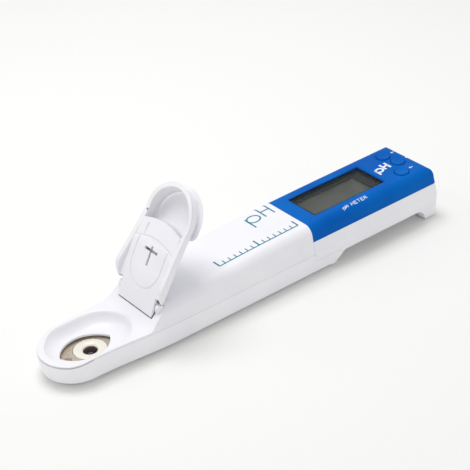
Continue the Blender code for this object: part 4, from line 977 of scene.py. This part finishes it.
prints = {"lift": 0.03, "step": 0.6,
          # (x, y, height, width, line width) of the quantity's symbol
          "quantity": (90.4, 4.3, 7.2, 10.8, 0.6), "panel": (145.2, -1.6, 4.0, 6.2, 0.85),
          "name": (119.8, -11.3, 1.25, 2.4, 0.26),
          "scale": {"start": 67.0, "length": 34.4, "low": -8.2, "ticks": 15, "major": 7, "base": 0.5,
                    "long": (-4.6, 0.62), "short": (-6.2, 0.42)},      # (end, line width) of a tick
          "letters": {"start": 123.8, "pitch": 1.55, "width": 1.05},
          "arrow": {"tip": 3.9, "tail": 5.5, "barb": 0.5, "line": 0.3}}
letterStrokes = {"M": [[(0, 0), (0, 1), (0.5, 0.35), (1, 1), (1, 0)]],
                 "E": [[(1, 0), (0, 0), (0, 1), (1, 1)], [(0, 0.5), (0.8, 0.5)]],
                 "T": [[(0, 1), (1, 1)], [(0.5, 1), (0.5, 0)]],
                 "R": [[(0, 0), (0, 1), (0.8, 1), (0.9, 0.6), (0, 0.5)], [(0.4, 0.5), (1, 0)]]}


def stroke(path, width, closed=False):
    # a ribbon along points in plan, cut into short steps so that it follows the surface
    fine = []
    pairs = list(zip(path, path[1:] + path[:1] if closed else path[1:]))
    for (x0, y0), (x1, y1) in pairs:
        steps = max(1, int(Vector((x1 - x0, y1 - y0)).length / prints["step"]))
        fine += [Vector((x0 + (x1 - x0) * k / steps, y0 + (y1 - y0) * k / steps)) for k in range(steps)]
    if not closed:
        fine.append(Vector(path[-1]))
    count = len(fine)
    verts = []
    for k, point in enumerate(fine):
        before = fine[(k - 1) % count] if closed or k else point
        after = fine[(k + 1) % count] if closed or k < count - 1 else point
        along = (after - before).normalized()
        for side in (-0.5, 0.5):
            x, y = point.x - along.y * width * side, point.y + along.x * width * side
            verts.append((x, y, surfaceHeight(x, y) + prints["lift"]))
    spans = count if closed else count - 1
    faces = [(2 * k, 2 * k + 1, (2 * k + 3) % (2 * count), (2 * k + 2) % (2 * count)) for k in range(spans)]
    return verts, faces


def makePrint(name, strokes, material, body, slotName):
    verts, faces = [], []
    for path, width, closed in strokes:
        some, sides = stroke(path, width, closed)
        faces += [tuple(len(verts) + k for k in face) for face in sides]
        verts += some
    finishPiece(newSolid(name, (verts, faces)), material, body)


def quantityStrokes(x, y, high, width, weight):
    # the generic symbol of the measured quantity, with p's bowl low and H beside it
    bowl = [(x + width * (0.24 - 0.24 * cos(2 * pi * k / 20)),
             y + high * (0.26 - 0.3 * sin(2 * pi * k / 20)))
            for k in range(20)]
    left, right = x + width * 0.64, x + width
    return [([(x, y + high * 0.5), (x, y - high * 0.42)], weight, False), (bowl, weight, True),
            ([(left, y), (left, y + high)], weight, False),
            ([(right, y), (right, y + high)], weight, False),
            ([(left, y + high * 0.5), (right, y + high * 0.5)], weight, False)]


def scaleStrokes(scale):
    start, low = scale["start"], scale["low"]
    strokes = [([(start, low), (start + scale["length"], low)], scale["base"], False)]
    for k in range(scale["ticks"]):
        x = start + scale["length"] * k / (scale["ticks"] - 1)
        end, width = scale["short"] if k % scale["major"] else scale["long"]
        strokes.append(([(x, low), (x, end)], width, False))
    return strokes


def nameStrokes(letters):
    strokes = quantityStrokes(*prints["name"])
    low, high, width = prints["name"][1], prints["name"][2], prints["name"][4]
    for place, letter in enumerate("METER"):
        x = letters["start"] + place * letters["pitch"]
        strokes += [([(x + letters["width"] * a, low + high * b) for a, b in path], width, False)
                    for path in letterStrokes[letter]]
    return strokes


def arrowStrokes(arrow):
    # a short arrow behind each key
    tip, tail, barb, line = arrow["tip"], arrow["tail"], arrow["barb"], arrow["line"]
    strokes = []
    for x, y in keyPlaces().values():
        strokes.append(([(x + tip, y), (x + tail, y)], line, False))
        strokes.append(([(x + tip + barb, y + barb), (x + tip, y), (x + tip + barb, y - barb)], line,
                        False))
    return strokes


def makePrints():
    teal, white = (tealInk, "cartridge", "white_abs"), (whiteInk, "meter", "blue_abs")
    makePrint("quantityPrint", quantityStrokes(*prints["quantity"]), *teal)
    makePrint("scalePrint", scaleStrokes(prints["scale"]), *teal)
    makePrint("panelPrint", quantityStrokes(*prints["panel"]), *white)
    makePrint("namePrint", nameStrokes(prints["letters"]), *white)
    makePrint("keyPrint", arrowStrokes(prints["arrow"]), *white)


makePrints()
print("prints made")


# camera, floor and lights

shot = {"place": (-0.2533, -0.35524, 0.29194), "right": (0.78782, -0.61179, -0.07113),
        "up": (0.37246, 0.38126, 0.84612), "back": (-0.49052, -0.69308, 0.52823), "lens": 114.17}
studio = {"floorHalf": 3.0, "sky": 0.68, "skyTint": "#FDFDFF",
          "key": {"place": (0.0, 0.13, 0.55), "aim": (-0.02, -0.02, 0.0), "size": 0.26, "power": 1.2},
          "rim": {"place": (-0.35, 0.45, 0.40), "aim": (0.0, 0.0, 0.0), "size": 0.35, "power": 0.25}}


def placeLight(name, setup):
    lamp = bpy.data.lights.new(name, "AREA")
    lamp.size = setup["size"]
    lamp.energy = setup["power"]
    item = bpy.data.objects.new(name, lamp)
    bpy.context.collection.objects.link(item)
    item.location = setup["place"]
    aim = Vector(setup["aim"]) - Vector(setup["place"])
    item.rotation_euler = aim.to_track_quat("-Z", "Y").to_euler()


def makeStage():
    lens = bpy.data.cameras.new("benchCamera")
    lens.lens = shot["lens"]
    lens.sensor_width = 36.0
    lens.clip_start, lens.clip_end = 0.01, 20.0
    camera = bpy.data.objects.new("benchCamera", lens)
    bpy.context.collection.objects.link(camera)
    turn = Matrix((shot["right"], shot["up"], shot["back"])).transposed()
    camera.matrix_world = Matrix.Translation(shot["place"]) @ turn.to_4x4()
    bpy.context.scene.camera = camera

    half = studio["floorHalf"]
    mesh = bpy.data.meshes.new("sweepFloor")
    mesh.from_pydata([(-half, -half, -0.0002), (half, -half, -0.0002), (half, half, -0.0002),
                      (-half, half, -0.0002)],
                     [], [(0, 1, 2, 3)])
    floor = bpy.data.objects.new("sweepFloor", mesh)
    bpy.context.collection.objects.link(floor)
    mesh.materials.append(paperWhite)
    placeLight("keySoftbox", studio["key"])
    placeLight("rimSoftbox", studio["rim"])
    world = bpy.data.worlds.new("paleRoom")
    world.use_nodes = True
    back = world.node_tree.nodes["Background"]
    back.inputs[0].default_value = linearColor(studio["skyTint"])
    back.inputs[1].default_value = studio["sky"]
    bpy.context.scene.world = world
    bpy.context.scene.view_settings.view_transform = "Standard"


makeStage()
print("camera, floor and lights set")
